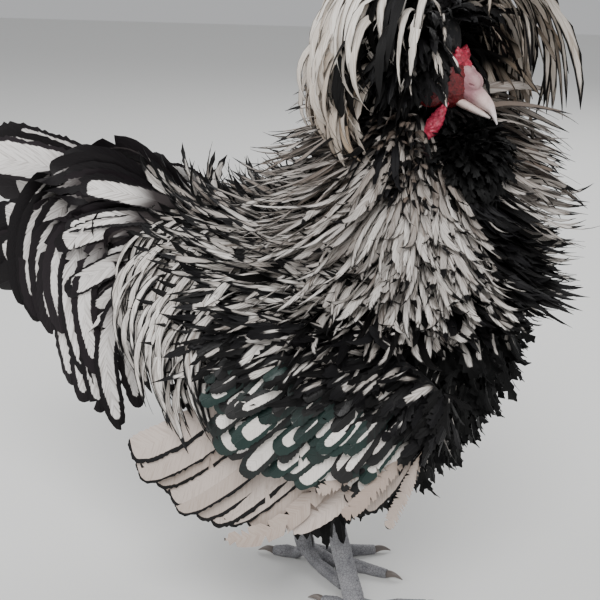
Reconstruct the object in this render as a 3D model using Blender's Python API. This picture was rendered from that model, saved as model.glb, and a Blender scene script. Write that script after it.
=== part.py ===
"""A crested, bearded cock with frizzled plumage, standing with its right foot forward.

Metres, +Z up. The bird faces +X, its left side is +Y, and its soles stand on z = 0.
Every node is one closed body, and the feathers of a node are fused to it at their roots.
The origin ends up on the floor under the middle of the whole bird.
"""

import math
import random
from dataclasses import dataclass, replace

import bmesh
import bpy
from mathutils import Matrix, Vector
from mathutils.bvhtree import BVHTree

# Torso: an egg along X, fuller towards the breast.
TAIL_END_X = -0.096
BREAST_END_X = 0.148
TORSO_HALF_WIDTH = 0.086
TORSO_HALF_DEPTH = 0.088
TORSO_MID_Z = 0.187
TORSO_TAIL_RISE = 0.062
TORSO_BREAST_RISE = 0.050
TORSO_LOWEST_SHARE = 0.6

# Neck: an upright cone from the shoulders to the skull, bowed a little to the front.
NECK_BASE = Vector((0.078, 0, 0.235))
NECK_TOP = Vector((0.072, 0, 0.354))
NECK_BASE_RADIUS = 0.056
NECK_TOP_RADIUS = 0.020
NECK_BOW = 0.010

# Head: the skull's middle, which way the bill points, and sizes from there.
SKULL = Vector((0.090, 0, 0.372))
HEAD_YAW = math.radians(4)
HEAD_PITCH = math.radians(21)
SKULL_HALF = (0.026, 0.0185, 0.0205)
EYE_RADIUS = 0.0058
EYE_FORWARD = 0.006
EYE_UP = 0.002
EYE_OUT = 0.0150
BILL_LENGTH = 0.034
BILL_ROOT = 0.019
BILL_HALF_WIDTH = 0.0075
BILL_HALF_HEIGHT = 0.0078
CREST_MIDDLE = (-0.012, 0, 0.015)
CREST_HALF = (0.024, 0.0235, 0.027)
CREST_ROWS = (
    (80, 3, 0.108),
    (58, 7, 0.120),
    (34, 9, 0.114),
    (10, 9, 0.098),
    (-16, 9, 0.076),
    (-44, 5, 0.048),
)
CREST_FRONT_ROOM = 0.12
HEAD_ROOM = 0.0008
BEARD_MIDDLE = (0.040, 0, -0.040)
BEARD_HALF = (0.018, 0.024, 0.019)
BEARD_ROWS = ((60, 4, 0.024), (25, 5, 0.030), (-8, 5, 0.032), (-42, 5, 0.030))

# Legs: where each foot's joint stands, its shank and its thigh.
FOOT_JOINT = {"right": Vector((0.055, -0.028, 0.011)), "left": Vector((-0.008, 0.028, 0.011))}
SHANK_RISE = 0.080
SHANK_LEAN = 0.022
SHANK_RADIUS = 0.0062
SHANK_FLATNESS = 0.86
HIP = Vector((0.022, 0.046, 0.140))
THIGH_RADIUS = 0.036
HOCK_RADIUS = 0.011
TOE_RADIUS = 0.0046
TOES = {"inner": (0.052, 34), "middle": (0.066, 0), "outer": (0.054, -34), "back": (0.026, 172)}
CLAW_LENGTH = 0.013

# Wings: the folded arm on each flank, which hangs low. The wrist is in front, the elbow behind.
ARM_MID = Vector((0.060, 0.090, 0.196))
ARM_HALF = (0.078, 0.014, 0.036)
ARM_PITCH = math.radians(10)
ARM_YAW = math.radians(7)
WRIST = Vector((0.116, 0.086, 0.168))
ELBOW = Vector((0.006, 0.098, 0.186))
FLIGHTS = 11
COVERT_ROWS = ((8, 0.004, 0.056), (7, 0.019, 0.045), (6, 0.035, 0.041))

# Tail: the stump that carries the feathers.
STUMP = Vector((-0.096, 0, 0.258))
STUMP_HALF = (0.024, 0.018, 0.020)

# Feathers: thickness of a vane, how deep its root is sunk, and the room left to other nodes.
VANE_THICKNESS = 0.0007
SHAFT_THICKNESS = 0.0014
ROOT_DEPTH = 0.0035
GAP = 0.0003
CLEARANCE = 0.0004
TRIES = 8
PATH_STEP = 0.05
SEED = 7

# A vane's outline: how wide it is, as a share of its width, at shares of its length.
LANCET = ((0, 0.2), (0.26, 1.0), (0.6, 0.85), (0.86, 0.46))
HACKLE = ((0, 0.2), (0.22, 0.92), (0.48, 1.0), (0.72, 0.76), (0.9, 0.4))
SHORT = ((0, 0.25), (0.38, 1.0), (0.78, 0.65))
COVERT = ((0, 0.2), (0.4, 1.0), (0.86, 0.8))
QUILL = ((0, 0.15), (0.28, 0.95), (0.62, 1.0), (0.92, 0.66))
SICKLE = ((0, 0.2), (0.16, 0.9), (0.32, 1.0), (0.48, 1.0), (0.64, 0.95), (0.8, 0.8), (0.93, 0.5))
BROAD = ((0, 0.2), (0.2, 0.75), (0.4, 0.95), (0.6, 1.0), (0.8, 0.95), (0.95, 0.6))

FLOOR_DEPTH = 0.05
UP = Vector((0, 0, 1))
AHEAD = Vector((1, 0, 0))
SIDES = {"right": -1, "left": 1}
COLOURS = {
    "plumage_black": (0.020, 0.022, 0.024, 0.55),
    "plumage_laced": (0.420, 0.410, 0.390, 0.60),
    "skin_red": (0.560, 0.045, 0.060, 0.50),
    "bill_horn": (0.720, 0.560, 0.540, 0.35),
    "shank_slate": (0.300, 0.320, 0.330, 0.60),
    "claw_horn": (0.250, 0.235, 0.215, 0.40),
    "eye_dark": (0.120, 0.040, 0.015, 0.10),
}


@dataclass
class Feather:
    """One vane. It leaves root along the first of its ways and bends on to the last.

    across is the way that its breadth lies, and away is where it is bent to clear other nodes.
    """

    root: Vector
    ways: tuple
    across: Vector
    length: float
    width: float
    away: Vector
    outline: tuple = LANCET
    ridge: bool = False


def clear_scene():
    for thing in list(bpy.data.objects):
        bpy.data.objects.remove(thing)


def material(name):
    made = bpy.data.materials.get(name)
    if made:
        return made
    red, green, blue, roughness = COLOURS[name]
    made = bpy.data.materials.new(name)
    made.use_nodes = True
    shader = made.node_tree.nodes["Principled BSDF"]
    shader.inputs["Base Color"].default_value = (red, green, blue, 1)
    shader.inputs["Roughness"].default_value = roughness
    shader.inputs["Metallic"].default_value = 0
    return made


def new_object(name, shape, collection):
    """An object from a bmesh, which is freed."""
    mesh = bpy.data.meshes.new(name)
    bmesh.ops.recalc_face_normals(shape, faces=shape.faces)
    shape.to_mesh(mesh)
    shape.free()
    made = bpy.data.objects.new(name, mesh)
    collection.objects.link(made)
    return made


def loft(rings):
    """A closed bmesh through rings of points. A ring of one point closes that end.

    The first and second half of each ring are split alike, which keeps a thin vane's faces apart.
    """
    shape = bmesh.new()
    rows = [[shape.verts.new(point) for point in ring] for ring in rings]
    for low, high in zip(rows, rows[1:]):
        count = max(len(low), len(high))
        for k in range(count):
            n = (k + 1) % count
            if len(low) == 1:
                shape.faces.new((low[0], high[n], high[k]))
            elif len(high) == 1:
                shape.faces.new((low[k], low[n], high[0]))
            elif k < count / 2:
                shape.faces.new((low[k], low[n], high[n]))
                shape.faces.new((low[k], high[n], high[k]))
            else:
                shape.faces.new((low[k], low[n], high[k]))
                shape.faces.new((low[n], high[n], high[k]))
    for row in (rows[0], rows[-1]):
        if len(row) > 1:
            shape.faces.new(row)
    bmesh.ops.triangulate(shape, faces=[face for face in shape.faces if len(face.verts) > 3])
    return shape


def ellipse(centre, along, up, half_width, half_height, sides):
    """A ring of points square to along."""
    along = along.normalized()
    side = up.cross(along).normalized()
    upright = along.cross(side)
    angles = [2 * math.pi * k / sides for k in range(sides)]
    return [
        centre + side * (half_width * math.cos(a)) + upright * (half_height * math.sin(a))
        for a in angles
    ]


def ellipsoid(name, middle, half, turn, collection, columns=16, rows=10):
    """A sphere with the half sizes given, turned by a matrix about its middle."""
    shape = bmesh.new()
    bmesh.ops.create_uvsphere(shape, u_segments=columns, v_segments=rows, radius=1)
    place = Matrix.Translation(middle) @ turn.to_4x4() @ Matrix.Diagonal((*half, 1))
    bmesh.ops.transform(shape, matrix=place, verts=shape.verts)
    return new_object(name, shape, collection)


def swollen(source, by, collection):
    """A copy of an object whose faces have moved outwards."""
    shape = bmesh.new()
    shape.from_mesh(source.data)
    shape.normal_update()
    steps = [v.normal * (by * min(v.calc_shell_factor(), 3)) for v in shape.verts]
    for vertex, step in zip(shape.verts, steps):
        vertex.co += step
    return new_object(source.name + "_swollen", shape, collection)


def apply_modifiers(thing):
    graph = bpy.context.evaluated_depsgraph_get()
    mesh = bpy.data.meshes.new_from_object(thing.evaluated_get(graph))
    thing.modifiers.clear()
    thing.data = mesh


def cut(thing, cutters):
    """Takes the cutters away from a thing, and then removes them."""
    for cutter in cutters:
        hole = thing.modifiers.new("cut", "BOOLEAN")
        hole.operation = "DIFFERENCE"
        hole.solver = "MANIFOLD"
        hole.object = cutter
        apply_modifiers(thing)
        bpy.data.objects.remove(cutter)
    keep_largest(thing)


def cut_clear(thing, others, helpers):
    """Cuts a thing back so that it meets the others face to face, GAP away."""
    cut(thing, [swollen(other, GAP, helpers) for other in others])


def join(thing, others):
    """Fuses other closed objects into a thing with one union, and removes them."""
    group = bpy.data.collections.new(thing.name + "_pieces")
    bpy.context.scene.collection.children.link(group)
    for other in others:
        for holder in list(other.users_collection):
            holder.objects.unlink(other)
        group.objects.link(other)
    fuse = thing.modifiers.new("fuse", "BOOLEAN")
    fuse.operation = "UNION"
    fuse.solver = "MANIFOLD"
    fuse.operand_type = "COLLECTION"
    fuse.collection = group
    apply_modifiers(thing)
    for other in others:
        bpy.data.objects.remove(other)
    bpy.data.collections.remove(group)
    keep_largest(thing)


def keep_largest(thing):
    """Leaves only the largest closed surface of a mesh."""
    shape = bmesh.new()
    shape.from_mesh(thing.data)
    bmesh.ops.triangulate(shape, faces=shape.faces)
    left = set(shape.verts)
    pieces = []
    while left:
        start = left.pop()
        piece = {start}
        edge = [start]
        while edge:
            near = {v for link in edge.pop().link_edges for v in link.verts} - piece
            piece |= near
            edge += near
        left -= piece
        pieces.append(piece)

    def volume(piece):
        faces = {face for vertex in piece for face in vertex.link_faces}
        corners = [[v.co for v in face.verts] for face in faces]
        return sum(a.dot(b.cross(c)) / 6 for a, b, c in corners)

    if len(pieces) > 1:
        largest = max(pieces, key=volume)
        scraps = [vertex for vertex in shape.verts if vertex not in largest]
        bmesh.ops.delete(shape, geom=scraps, context="VERTS")
    shape.to_mesh(thing.data)
    shape.free()


def heading(ways, share):
    """The direction of a shaft at a share of its length."""
    place = share * (len(ways) - 1)
    k = min(int(place), len(ways) - 2)
    return ways[k].lerp(ways[k + 1], place - k).normalized()


def vane(feather, extra=0):
    """A closed bmesh of one feather. A ridged one has its shaft along the middle."""
    rings = []
    point = feather.root - feather.ways[0].normalized() * ROOT_DEPTH
    done = 0
    for share, breadth in (*feather.outline, (1, 0)):
        while done < share - 0.001:
            step = min(PATH_STEP, share - done)
            point = point + heading(feather.ways, done + step / 2) * (feather.length * step)
            done += step
        ahead = heading(feather.ways, share)
        side = (feather.across - ahead * feather.across.dot(ahead)).normalized()
        normal = side.cross(ahead)
        half = side * (feather.width * breadth / 2 + extra)
        flat = normal * (VANE_THICKNESS / 2 + extra)
        thick = normal * (SHAFT_THICKNESS / 2 + extra)
        if share == 1:
            rings.append([point + ahead * extra])
        elif feather.ridge:
            rings.append(
                [
                    point - half + flat,
                    point + thick,
                    point + half + flat,
                    point + half - flat,
                    point - thick,
                    point - half - flat,
                ]
            )
        else:
            rings.append(
                [
                    point - half + flat,
                    point + half + flat,
                    point + half - flat,
                    point - half - flat,
                ]
            )
    return loft(rings)


def tree_of(shape):
    made = BVHTree.FromBMesh(shape)
    shape.free()
    return made


def surface_tree(thing):
    shape = bmesh.new()
    shape.from_mesh(thing.data)
    return tree_of(shape)


def bend(feather, ease):
    """A feather turned away from its lie, and shorter."""
    ways = tuple((way.normalized() + feather.away * ease).normalized() for way in feather.ways)
    return replace(feather, ways=ways, length=feather.length * (1 - 0.35 * ease))


def grow(host, feathers, others, helpers):
    """Fuses feathers to their host. Each is bent until it clears the others and, if it can, its kin."""
    obstacles = [surface_tree(other) for other in others]
    kin = []
    grown = []
    for feather in feathers:
        chosen = None
        for attempt in range(TRIES):
            bent = bend(feather, attempt / TRIES)
            room = tree_of(vane(bent, CLEARANCE))
            if any(room.overlap(obstacle) for obstacle in obstacles):
                continue
            crossing = any(room.overlap(other) for other in kin)
            if chosen is None or not crossing:
                chosen = bent
            if not crossing:
                break
        if chosen:
            kin.append(tree_of(vane(chosen)))
            grown.append(new_object("feather", vane(chosen), helpers))
    join(host, grown)


def finish(thing, colour):
    thing.data.materials.clear()
    thing.data.materials.append(material(colour))
    thing.data.shade_smooth()
    thing.data.set_sharp_from_angle(angle=math.radians(40))


def mirrored(vector, sign):
    """The same place or direction on the bird's left (1) or right (-1)."""
    return Vector((vector[0], vector[1] * sign, vector[2]))


def torso_point(t, angle, lift=0.0):
    """A point of the torso at t from tail to breast. The angle runs from the top to the left."""
    x = TAIL_END_X + (BREAST_END_X - TAIL_END_X) * t
    if t < TORSO_LOWEST_SHARE:
        rise = TORSO_TAIL_RISE * (1 - t / TORSO_LOWEST_SHARE) ** 2
    else:
        rise = TORSO_BREAST_RISE * ((t - TORSO_LOWEST_SHARE) / (1 - TORSO_LOWEST_SHARE)) ** 2
    share = math.sin(math.pi * min(max(t, 0), 1) ** 1.15) ** 0.5
    width = TORSO_HALF_WIDTH * share + lift
    depth = TORSO_HALF_DEPTH * share + lift
    return Vector((x, width * math.sin(angle), TORSO_MID_Z + rise + depth * math.cos(angle)))


def torso_normal(t, angle):
    step = 0.01
    along = torso_point(min(t + step, 0.995), angle) - torso_point(t - step, angle)
    around = torso_point(t, angle + step) - torso_point(t, angle - step)
    return along.cross(around).normalized()


def make_torso(collection):
    sides, count = 16, 9
    rings = [[torso_point(0, 0)]]
    for k in range(1, count):
        t = 0.5 - 0.5 * math.cos(math.pi * k / count)
        rings.append([torso_point(t, 2 * math.pi * n / sides) for n in range(sides)])
    rings.append([torso_point(1, 0)])
    return new_object("torso", loft(rings), collection)


def neck_point(t):
    return NECK_BASE.lerp(NECK_TOP, t) + AHEAD * (NECK_BOW * math.sin(math.pi * t))


def neck_radius(t):
    return NECK_TOP_RADIUS + (NECK_BASE_RADIUS - NECK_TOP_RADIUS) * (1 - t) ** 1.4


def make_neck(collection):
    axis = NECK_TOP - NECK_BASE
    shares = (0, 0.2, 0.45, 0.7, 1)
    rings = [ellipse(neck_point(t), axis, AHEAD, neck_radius(t), neck_radius(t), 12) for t in shares]
    return new_object("neck", loft(rings), collection)


def cape(rng):
    """The neck's long, curled hackles, in rings that lie over the shoulders, back and breast."""
    feathers = []
    for t, count, length, fall in (
        (0.84, 7, 0.046, 1.6),
        (0.66, 10, 0.062, 1.0),
        (0.44, 11, 0.078, 0.60),
        (0.26, 12, 0.090, 0.34),
    ):
        for k in range(count):
            turn = 2 * math.pi * (k + rng.uniform(0.3, 0.7)) / count
            out = Vector((math.cos(turn), math.sin(turn), 0))
            level = 1 - 0.75 * max(0, -out.x)
            feathers.append(
                Feather(
                    root=neck_point(t) + out * neck_radius(t),
                    ways=(
                        out + UP * (0.5 - fall),
                        out - UP * (fall * level + 0.25),
                        out - UP * (fall * level * 0.9 + 0.1),
                        out - UP * rng.uniform(-0.1, 0.3) * level,
                    ),
                    across=UP.cross(out) + UP * rng.uniform(-0.2, 0.2),
                    length=length * rng.uniform(0.92, 1.08),
                    width=rng.uniform(0.013, 0.016),
                    away=out * 0.6 + UP * (1 - t),
                )
            )
    return feathers


def breast_frizz(rng):
    """Curled feathers of the breast and belly, with their tips turned out and up."""
    feathers = []
    for t, count, first, last in (
        (0.70, 3, 95, 178),
        (0.80, 4, 80, 180),
        (0.89, 5, 55, 180),
        (0.965, 4, 40, 180),
        (0.99, 2, 15, 150),
    ):
        for sign in SIDES.values():
            for k in range(count):
                share = (k + rng.uniform(0.3, 0.7)) / count
                angle = math.radians(first + (last - first) * share) * sign
                normal = torso_normal(t, angle)
                lie = (-UP * 0.8 - AHEAD * 0.5).normalized()
                feathers.append(
                    Feather(
                        root=torso_point(t, angle),
                        ways=(
                            normal + lie * 0.8,
                            normal * 0.5 + lie,
                            normal * 0.9 + lie * 0.4,
                            normal + UP * 0.5,
                        ),
                        across=normal.cross(lie),
                        length=rng.uniform(0.044, 0.052),
                        width=rng.uniform(0.016, 0.020),
                        away=normal,
                    )
                )
    return feathers


def back_frizz(rng):
    """Narrow feathers that stand up between the cape and the saddle."""
    feathers = []
    for t, count, spread in ((0.22, 2, 30), (0.34, 4, 50), (0.46, 5, 72), (0.58, 5, 76)):
        for k in range(count):
            angle = math.radians(spread * (2 * (k + rng.uniform(0.35, 0.65)) / count - 1))
            normal = torso_normal(t, angle)
            feathers.append(
                Feather(
                    root=torso_point(t, angle),
                    ways=(normal * 0.7 - AHEAD, normal * 0.3 - AHEAD, normal * 0.9 - AHEAD * 0.6),
                    across=normal.cross(AHEAD),
                    length=rng.uniform(0.044, 0.054),
                    width=0.014,
                    away=normal,
                )
            )
    return feathers


def saddle(rng):
    """Long narrow hackles that rise from the rump and hang over the flanks and the wing tips."""
    feathers = []
    for first, angle, count, length in ((0.10, 40, 5, 0.112), (0.08, 64, 4, 0.106), (0.08, 86, 3, 0.088)):
        for sign in SIDES.values():
            out = Vector((0, sign, 0))
            for k in range(count):
                t = first + 0.36 * (k + rng.uniform(0.35, 0.65)) / count
                feathers.append(
                    Feather(
                        root=torso_point(t, math.radians(angle + rng.uniform(-4, 4)) * sign),
                        ways=(
                            out + UP * 0.5 - AHEAD * 0.6,
                            out * 0.9 - UP * 0.35 - AHEAD * 0.5,
                            out * 0.25 - UP - AHEAD * 0.3,
                            out * 0.02 - UP - AHEAD * 0.15,
                            out * 0.15 - UP * 0.9 + AHEAD * 0.2,
                        ),
                        across=AHEAD + out * 0.2,
                        length=length * rng.uniform(0.92, 1.08),
                        width=rng.uniform(0.013, 0.015),
                        away=out,
                        outline=HACKLE,
                    )
                )
    return feathers


def head_turn():
    """The head's own axes: X along the bill, Y to its left, Z up."""
    return Matrix.Rotation(HEAD_YAW, 3, "Z") @ Matrix.Rotation(HEAD_PITCH, 3, "Y")


def on_head(forward, left, up):
    return SKULL + head_turn() @ Vector((forward, left, up))


def make_head(collection, helpers):
    """Skull and bare face, with a raised lid round each eye socket."""
    turn = head_turn()
    head = ellipsoid("head", SKULL, SKULL_HALF, turn, collection, 12, 8)
    face = [
        ellipse(on_head(x, 0, -0.003), turn @ AHEAD, turn @ UP, width, height, 10)
        for x, width, height in (
            (-0.006, 0.0165, 0.0165),
            (0.008, 0.0150, 0.0150),
            (BILL_ROOT, 0.0100, 0.0112),
        )
    ]
    pieces = [new_object("face", loft(face), helpers)]
    for sign in SIDES.values():
        lid_half = (EYE_RADIUS + 0.0022, 0.0050, EYE_RADIUS + 0.0014)
        lid_middle = on_head(EYE_FORWARD, sign * (EYE_OUT - 0.0015), EYE_UP)
        pieces.append(ellipsoid("lid", lid_middle, lid_half, turn, helpers, 8, 6))
    join(head, pieces)
    eyes = []
    sockets = []
    for name, sign in SIDES.items():
        middle = on_head(EYE_FORWARD, sign * EYE_OUT, EYE_UP)
        eye = ellipsoid(name + "_eye", middle, (EYE_RADIUS,) * 3, turn, collection, 10, 6)
        sockets.append(swollen(eye, GAP, helpers))
        eyes.append(eye)
    cut(head, sockets)
    return head, eyes


def skull_room(helpers):
    """The space that the neck, crest and beard leave to the skull."""
    half = [size + HEAD_ROOM for size in SKULL_HALF]
    return ellipsoid("room", SKULL, half, head_turn(), helpers, 12, 8)


def make_bill(collection, helpers):
    """The upper half hooks over the lower one. The raised nostrils sit on its root."""
    turn = head_turn()
    ahead, up = turn @ AHEAD, turn @ UP
    root = BILL_ROOT + GAP
    upper = []
    lower = []
    for share in (0, 0.3, 0.6, 0.85):
        x = root + BILL_LENGTH * share
        width = BILL_HALF_WIDTH * (1 - share**1.6)
        height = 0.72 * BILL_HALF_HEIGHT * (1 - share**1.8) + 0.0005
        upper.append(ellipse(on_head(x, 0, 0.0012 - 0.006 * share**2.2), ahead, up, width, height, 10))
    upper.append([on_head(root + BILL_LENGTH, 0, -0.0100)])
    for share in (0, 0.35, 0.65):
        x = root + BILL_LENGTH * share
        width = 0.82 * BILL_HALF_WIDTH * (1 - share**1.5)
        lower.append(ellipse(on_head(x, 0, -0.0082 - 0.002 * share), ahead, up, width, 0.0030, 8))
    lower.append([on_head(root + 0.8 * BILL_LENGTH, 0, -0.0108)])
    top = new_object("bill_upper", loft(upper), collection)
    bulbs = []
    slits = []
    for sign in SIDES.values():
        bulb = on_head(root + 0.0068, sign * 0.0042, 0.0066)
        bulbs.append(ellipsoid("bulb", bulb, (0.0078, 0.0046, 0.0062), turn, helpers, 10, 6))
        slit = on_head(root + 0.0085, sign * 0.0088, 0.0068)
        slits.append(ellipsoid("slit", slit, (0.0032, 0.0018, 0.0010), turn, helpers, 8, 4))
    join(top, bulbs)
    cut(top, slits)
    return top, new_object("bill_lower", loft(lower), collection)


def make_comb(collection, helpers):
    """Two short horns that stand in a V above the nostrils."""
    turn = head_turn()
    horns = []
    for sign in SIDES.values():
        axis = turn @ Vector((-0.004, sign * 0.0105, 0.013))
        rings = [
            ellipse(
                on_head(0.0175 - 0.004 * share, sign * (0.0015 + 0.0105 * share), 0.0135 + 0.013 * share),
                axis,
                turn @ AHEAD,
                radius,
                radius * 0.8,
                8,
            )
            for share, radius in ((0, 0.0042), (0.4, 0.0046), (0.75, 0.0036))
        ]
        rings.append([on_head(0.0130, sign * 0.0125, 0.0280)])
        horns.append(new_object("comb", loft(rings), collection if not horns else helpers))
    join(horns[0], horns[1:])
    return horns[0]


def make_wattle(name, sign, collection):
    turn = head_turn()
    rings = [[on_head(0.013, sign * 0.0130, -0.0070)]]
    for share, radius in ((0.15, 0.0036), (0.5, 0.0052), (0.85, 0.0046)):
        middle = on_head(0.013 - 0.008 * share, sign * (0.0140 + 0.005 * share), -0.0070 - 0.018 * share)
        along = turn @ Vector((-0.3, 0, -1))
        rings.append(ellipse(middle, along, turn @ AHEAD, radius * 0.5, radius, 8))
    rings.append([on_head(0.0040, sign * 0.0195, -0.0270)])
    return new_object(name, loft(rings), collection)


def crest_feathers(rng):
    """A mop that rises from the knob on the skull and falls to all sides, shorter over the bill."""
    middle = on_head(*CREST_MIDDLE)
    feathers = []
    for row, (height, count, length) in enumerate(CREST_ROWS):
        for k in range(count):
            turn = 2 * math.pi * (k + row / 2 + rng.uniform(-0.15, 0.15)) / count
            out = Vector((math.cos(turn), math.sin(turn), 0))
            front = max(0, out.x) ** 2
            rise = math.radians(height)
            start = out * math.cos(rise) + UP * math.sin(rise)
            reach = Vector([a * b for a, b in zip(start, CREST_HALF)]) * 0.97
            if out.x > math.sin(rise) + CREST_FRONT_ROOM:
                continue
            feathers.append(
                Feather(
                    root=middle + reach,
                    ways=(
                        start + UP * 0.5,
                        out + UP * 0.75 * math.sin(rise),
                        out * 0.95 - UP * (0.5 - 0.3 * front),
                        out * 0.30 - UP * (1 - 0.35 * front),
                        out * 0.02 - UP * (1 - 0.35 * front),
                    ),
                    across=UP.cross(out) + UP * rng.uniform(-0.2, 0.2),
                    length=length * rng.uniform(0.92, 1.06) * (1 - 0.3 * front),
                    width=rng.uniform(0.017, 0.020),
                    away=out * 0.6 + UP * 0.7,
                    outline=HACKLE if height > 30 else LANCET,
                )
            )
    return feathers


def beard_feathers(rng):
    """Short feathers under the bill and along the cheeks, which puff out and fall."""
    turn = head_turn()
    middle = on_head(*BEARD_MIDDLE)
    feathers = []
    for height, count, length in BEARD_ROWS:
        for k in range(count):
            swing = math.radians(-100 + 200 * (k + rng.uniform(0.35, 0.65)) / count)
            rise = math.radians(height)
            out = turn @ Vector((math.cos(swing), math.sin(swing), 0))
            start = out * math.cos(rise) + UP * math.sin(rise)
            depth = Vector([a * b for a, b in zip(start, BEARD_HALF)])
            feathers.append(
                Feather(
                    root=middle + depth * 0.96,
                    ways=(start + out * 0.3, out * 0.7 - UP * 0.7, out * 0.25 - UP),
                    across=UP.cross(out),
                    length=length * rng.uniform(0.9, 1.1),
                    width=0.0155,
                    away=out - UP * 0.4,
                    outline=SHORT,
                )
            )
    return feathers


def rectrices(sign):
    """One side of the tent of main tail feathers, from the top one down."""
    feathers = []
    for k in range(6):
        share = k / 5
        pitch = math.radians(27 - 36 * share)
        back = Vector((-math.cos(pitch), sign * (0.05 + 0.18 * share), math.sin(pitch)))
        out = Vector((0, sign, 0))
        feathers.append(
            Feather(
                root=STUMP + Vector((-0.012, sign * (0.003 + 0.009 * share), 0.013 - 0.022 * share)),
                ways=(back + UP * 0.12, back, back - UP * 0.22),
                across=UP + out * (0.2 + 0.25 * share),
                length=0.150 - 0.018 * share,
                width=0.031,
                away=back,
                outline=QUILL,
                ridge=True,
            )
        )
    return feathers


def sickles(sign):
    """Narrow arching feathers over one side of the tail."""
    out = Vector((0, sign, 0))
    feathers = []
    for k, (length, spread, rise) in enumerate(((0.215, 0.24, 1.3), (0.190, 0.40, 0.9), (0.168, 0.52, 0.6))):
        feathers.append(
            Feather(
                root=STUMP + Vector((0.004 * k, sign * (0.010 + 0.003 * k), 0.015 - 0.005 * k)),
                ways=(
                    -AHEAD * 0.7 + UP * rise + out * spread,
                    -AHEAD + UP * rise * 0.25 + out * spread,
                    -AHEAD * 0.75 - UP * 0.7 + out * spread * 0.5,
                    -AHEAD * 0.08 - UP + out * spread * 0.2,
                    AHEAD * 0.2 - UP,
                ),
                across=-UP * 0.5 - AHEAD * 0.8 + out * 0.3,
                length=length,
                width=0.020,
                away=out,
                outline=SICKLE,
            )
        )
    return feathers


def tail_coverts(sign, rng):
    """Broad round feathers that spring from the side of the stump and hang behind the flank."""
    out = Vector((0, sign, 0))
    feathers = []
    for k in range(5):
        share = k / 4
        side = 0.014 + 0.003 * (k % 2)
        feathers.append(
            Feather(
                root=STUMP + Vector((0.006 - 0.010 * (k % 2), sign * side, 0.008 - 0.020 * share)),
                ways=(
                    -AHEAD * 0.8 + UP * (0.45 - 0.6 * share) + out * (0.55 + 0.25 * share),
                    -AHEAD * 0.95 - UP * (0.15 + 0.4 * share) + out * (0.40 + 0.15 * share),
                    -AHEAD * 0.45 - UP + out * 0.15,
                    AHEAD * 0.1 - UP,
                    AHEAD * rng.uniform(0.3, 0.5) - UP,
                ),
                across=-UP * 0.55 - AHEAD * 0.8 + out * 0.3,
                length=rng.uniform(0.168, 0.182) - 0.045 * share,
                width=0.025,
                away=out,
                outline=BROAD,
            )
        )
    return feathers


def arm_skin(x, z, sign):
    """The point of the folded arm's outer face at x and z."""
    turn = Matrix.Rotation(-ARM_PITCH, 3, "Y")
    flat = turn @ Vector((x - ARM_MID.x, 0, z - ARM_MID.z))
    share = 1 - (flat.x / ARM_HALF[0]) ** 2 - (flat.z / ARM_HALF[2]) ** 2
    middle = ARM_MID.y - math.tan(ARM_YAW) * (x - ARM_MID.x)
    return Vector((x, sign * (middle + ARM_HALF[1] * math.sqrt(max(share, 0))), z))


def wing_feathers(sign, rng):
    """The wing's tiers on one side: flights that fan down and back, then four rows of coverts.

    Each is tilted like a shingle, so that the hind feathers lie over the front ones, and each
    row rises more than the one that it lies on.
    """
    out = Vector((0, sign, 0))
    aft = (mirrored(ELBOW, sign) - mirrored(WRIST, sign)).normalized()
    drift = out * (aft.y / -aft.x * sign)
    feathers = []
    for k in range(FLIGHTS):
        share = k / (FLIGHTS - 1)
        dip = math.radians(47 - 12 * share)
        back = Vector((-math.cos(dip), 0, -math.sin(dip))) + drift * math.cos(dip)
        feathers.append(
            Feather(
                root=mirrored(WRIST.lerp(ELBOW, share), sign) + UP * rng.uniform(-0.001, 0.001),
                ways=(back + out * 0.06, back, back - out * 0.12 + UP * rng.uniform(0, 0.10)),
                across=Vector((math.sin(dip), 0, -math.cos(dip))) + out * 0.16,
                length=(0.102 + 0.030 * math.sin(math.pi * share) - 0.012 * share) * rng.uniform(0.97, 1.03),
                width=0.0195,
                away=out,
                outline=QUILL,
                ridge=True,
            )
        )
    for row, (count, above, length) in enumerate(COVERT_ROWS):
        for k in range(count):
            share = 0.02 + 0.94 * (k + 0.25 * row) / count
            dip = math.radians(50 - 16 * share + rng.uniform(-2, 2))
            back = Vector((-math.cos(dip), 0, -math.sin(dip))) + drift * math.cos(dip)
            rise = 0.20 + 0.06 * row
            place = WRIST.lerp(ELBOW, share) + UP * (above + rng.uniform(-0.001, 0.001))
            feathers.append(
                Feather(
                    root=arm_skin(place.x, place.z, sign),
                    ways=(back + out * rise * 1.6, back + out * (rise - 0.12), back + out * (rise - 0.26)),
                    across=Vector((math.sin(dip), 0, -math.cos(dip))) + out * 0.18,
                    length=length * rng.uniform(0.95, 1.05),
                    width=0.0215,
                    away=out,
                    outline=COVERT,
                )
            )
    return feathers


def make_arm(name, sign, collection):
    turn = Matrix.Rotation(-ARM_YAW * sign, 3, "Z") @ Matrix.Rotation(ARM_PITCH, 3, "Y")
    return ellipsoid(name, mirrored(ARM_MID, sign), ARM_HALF, turn, collection, 10, 6)


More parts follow.
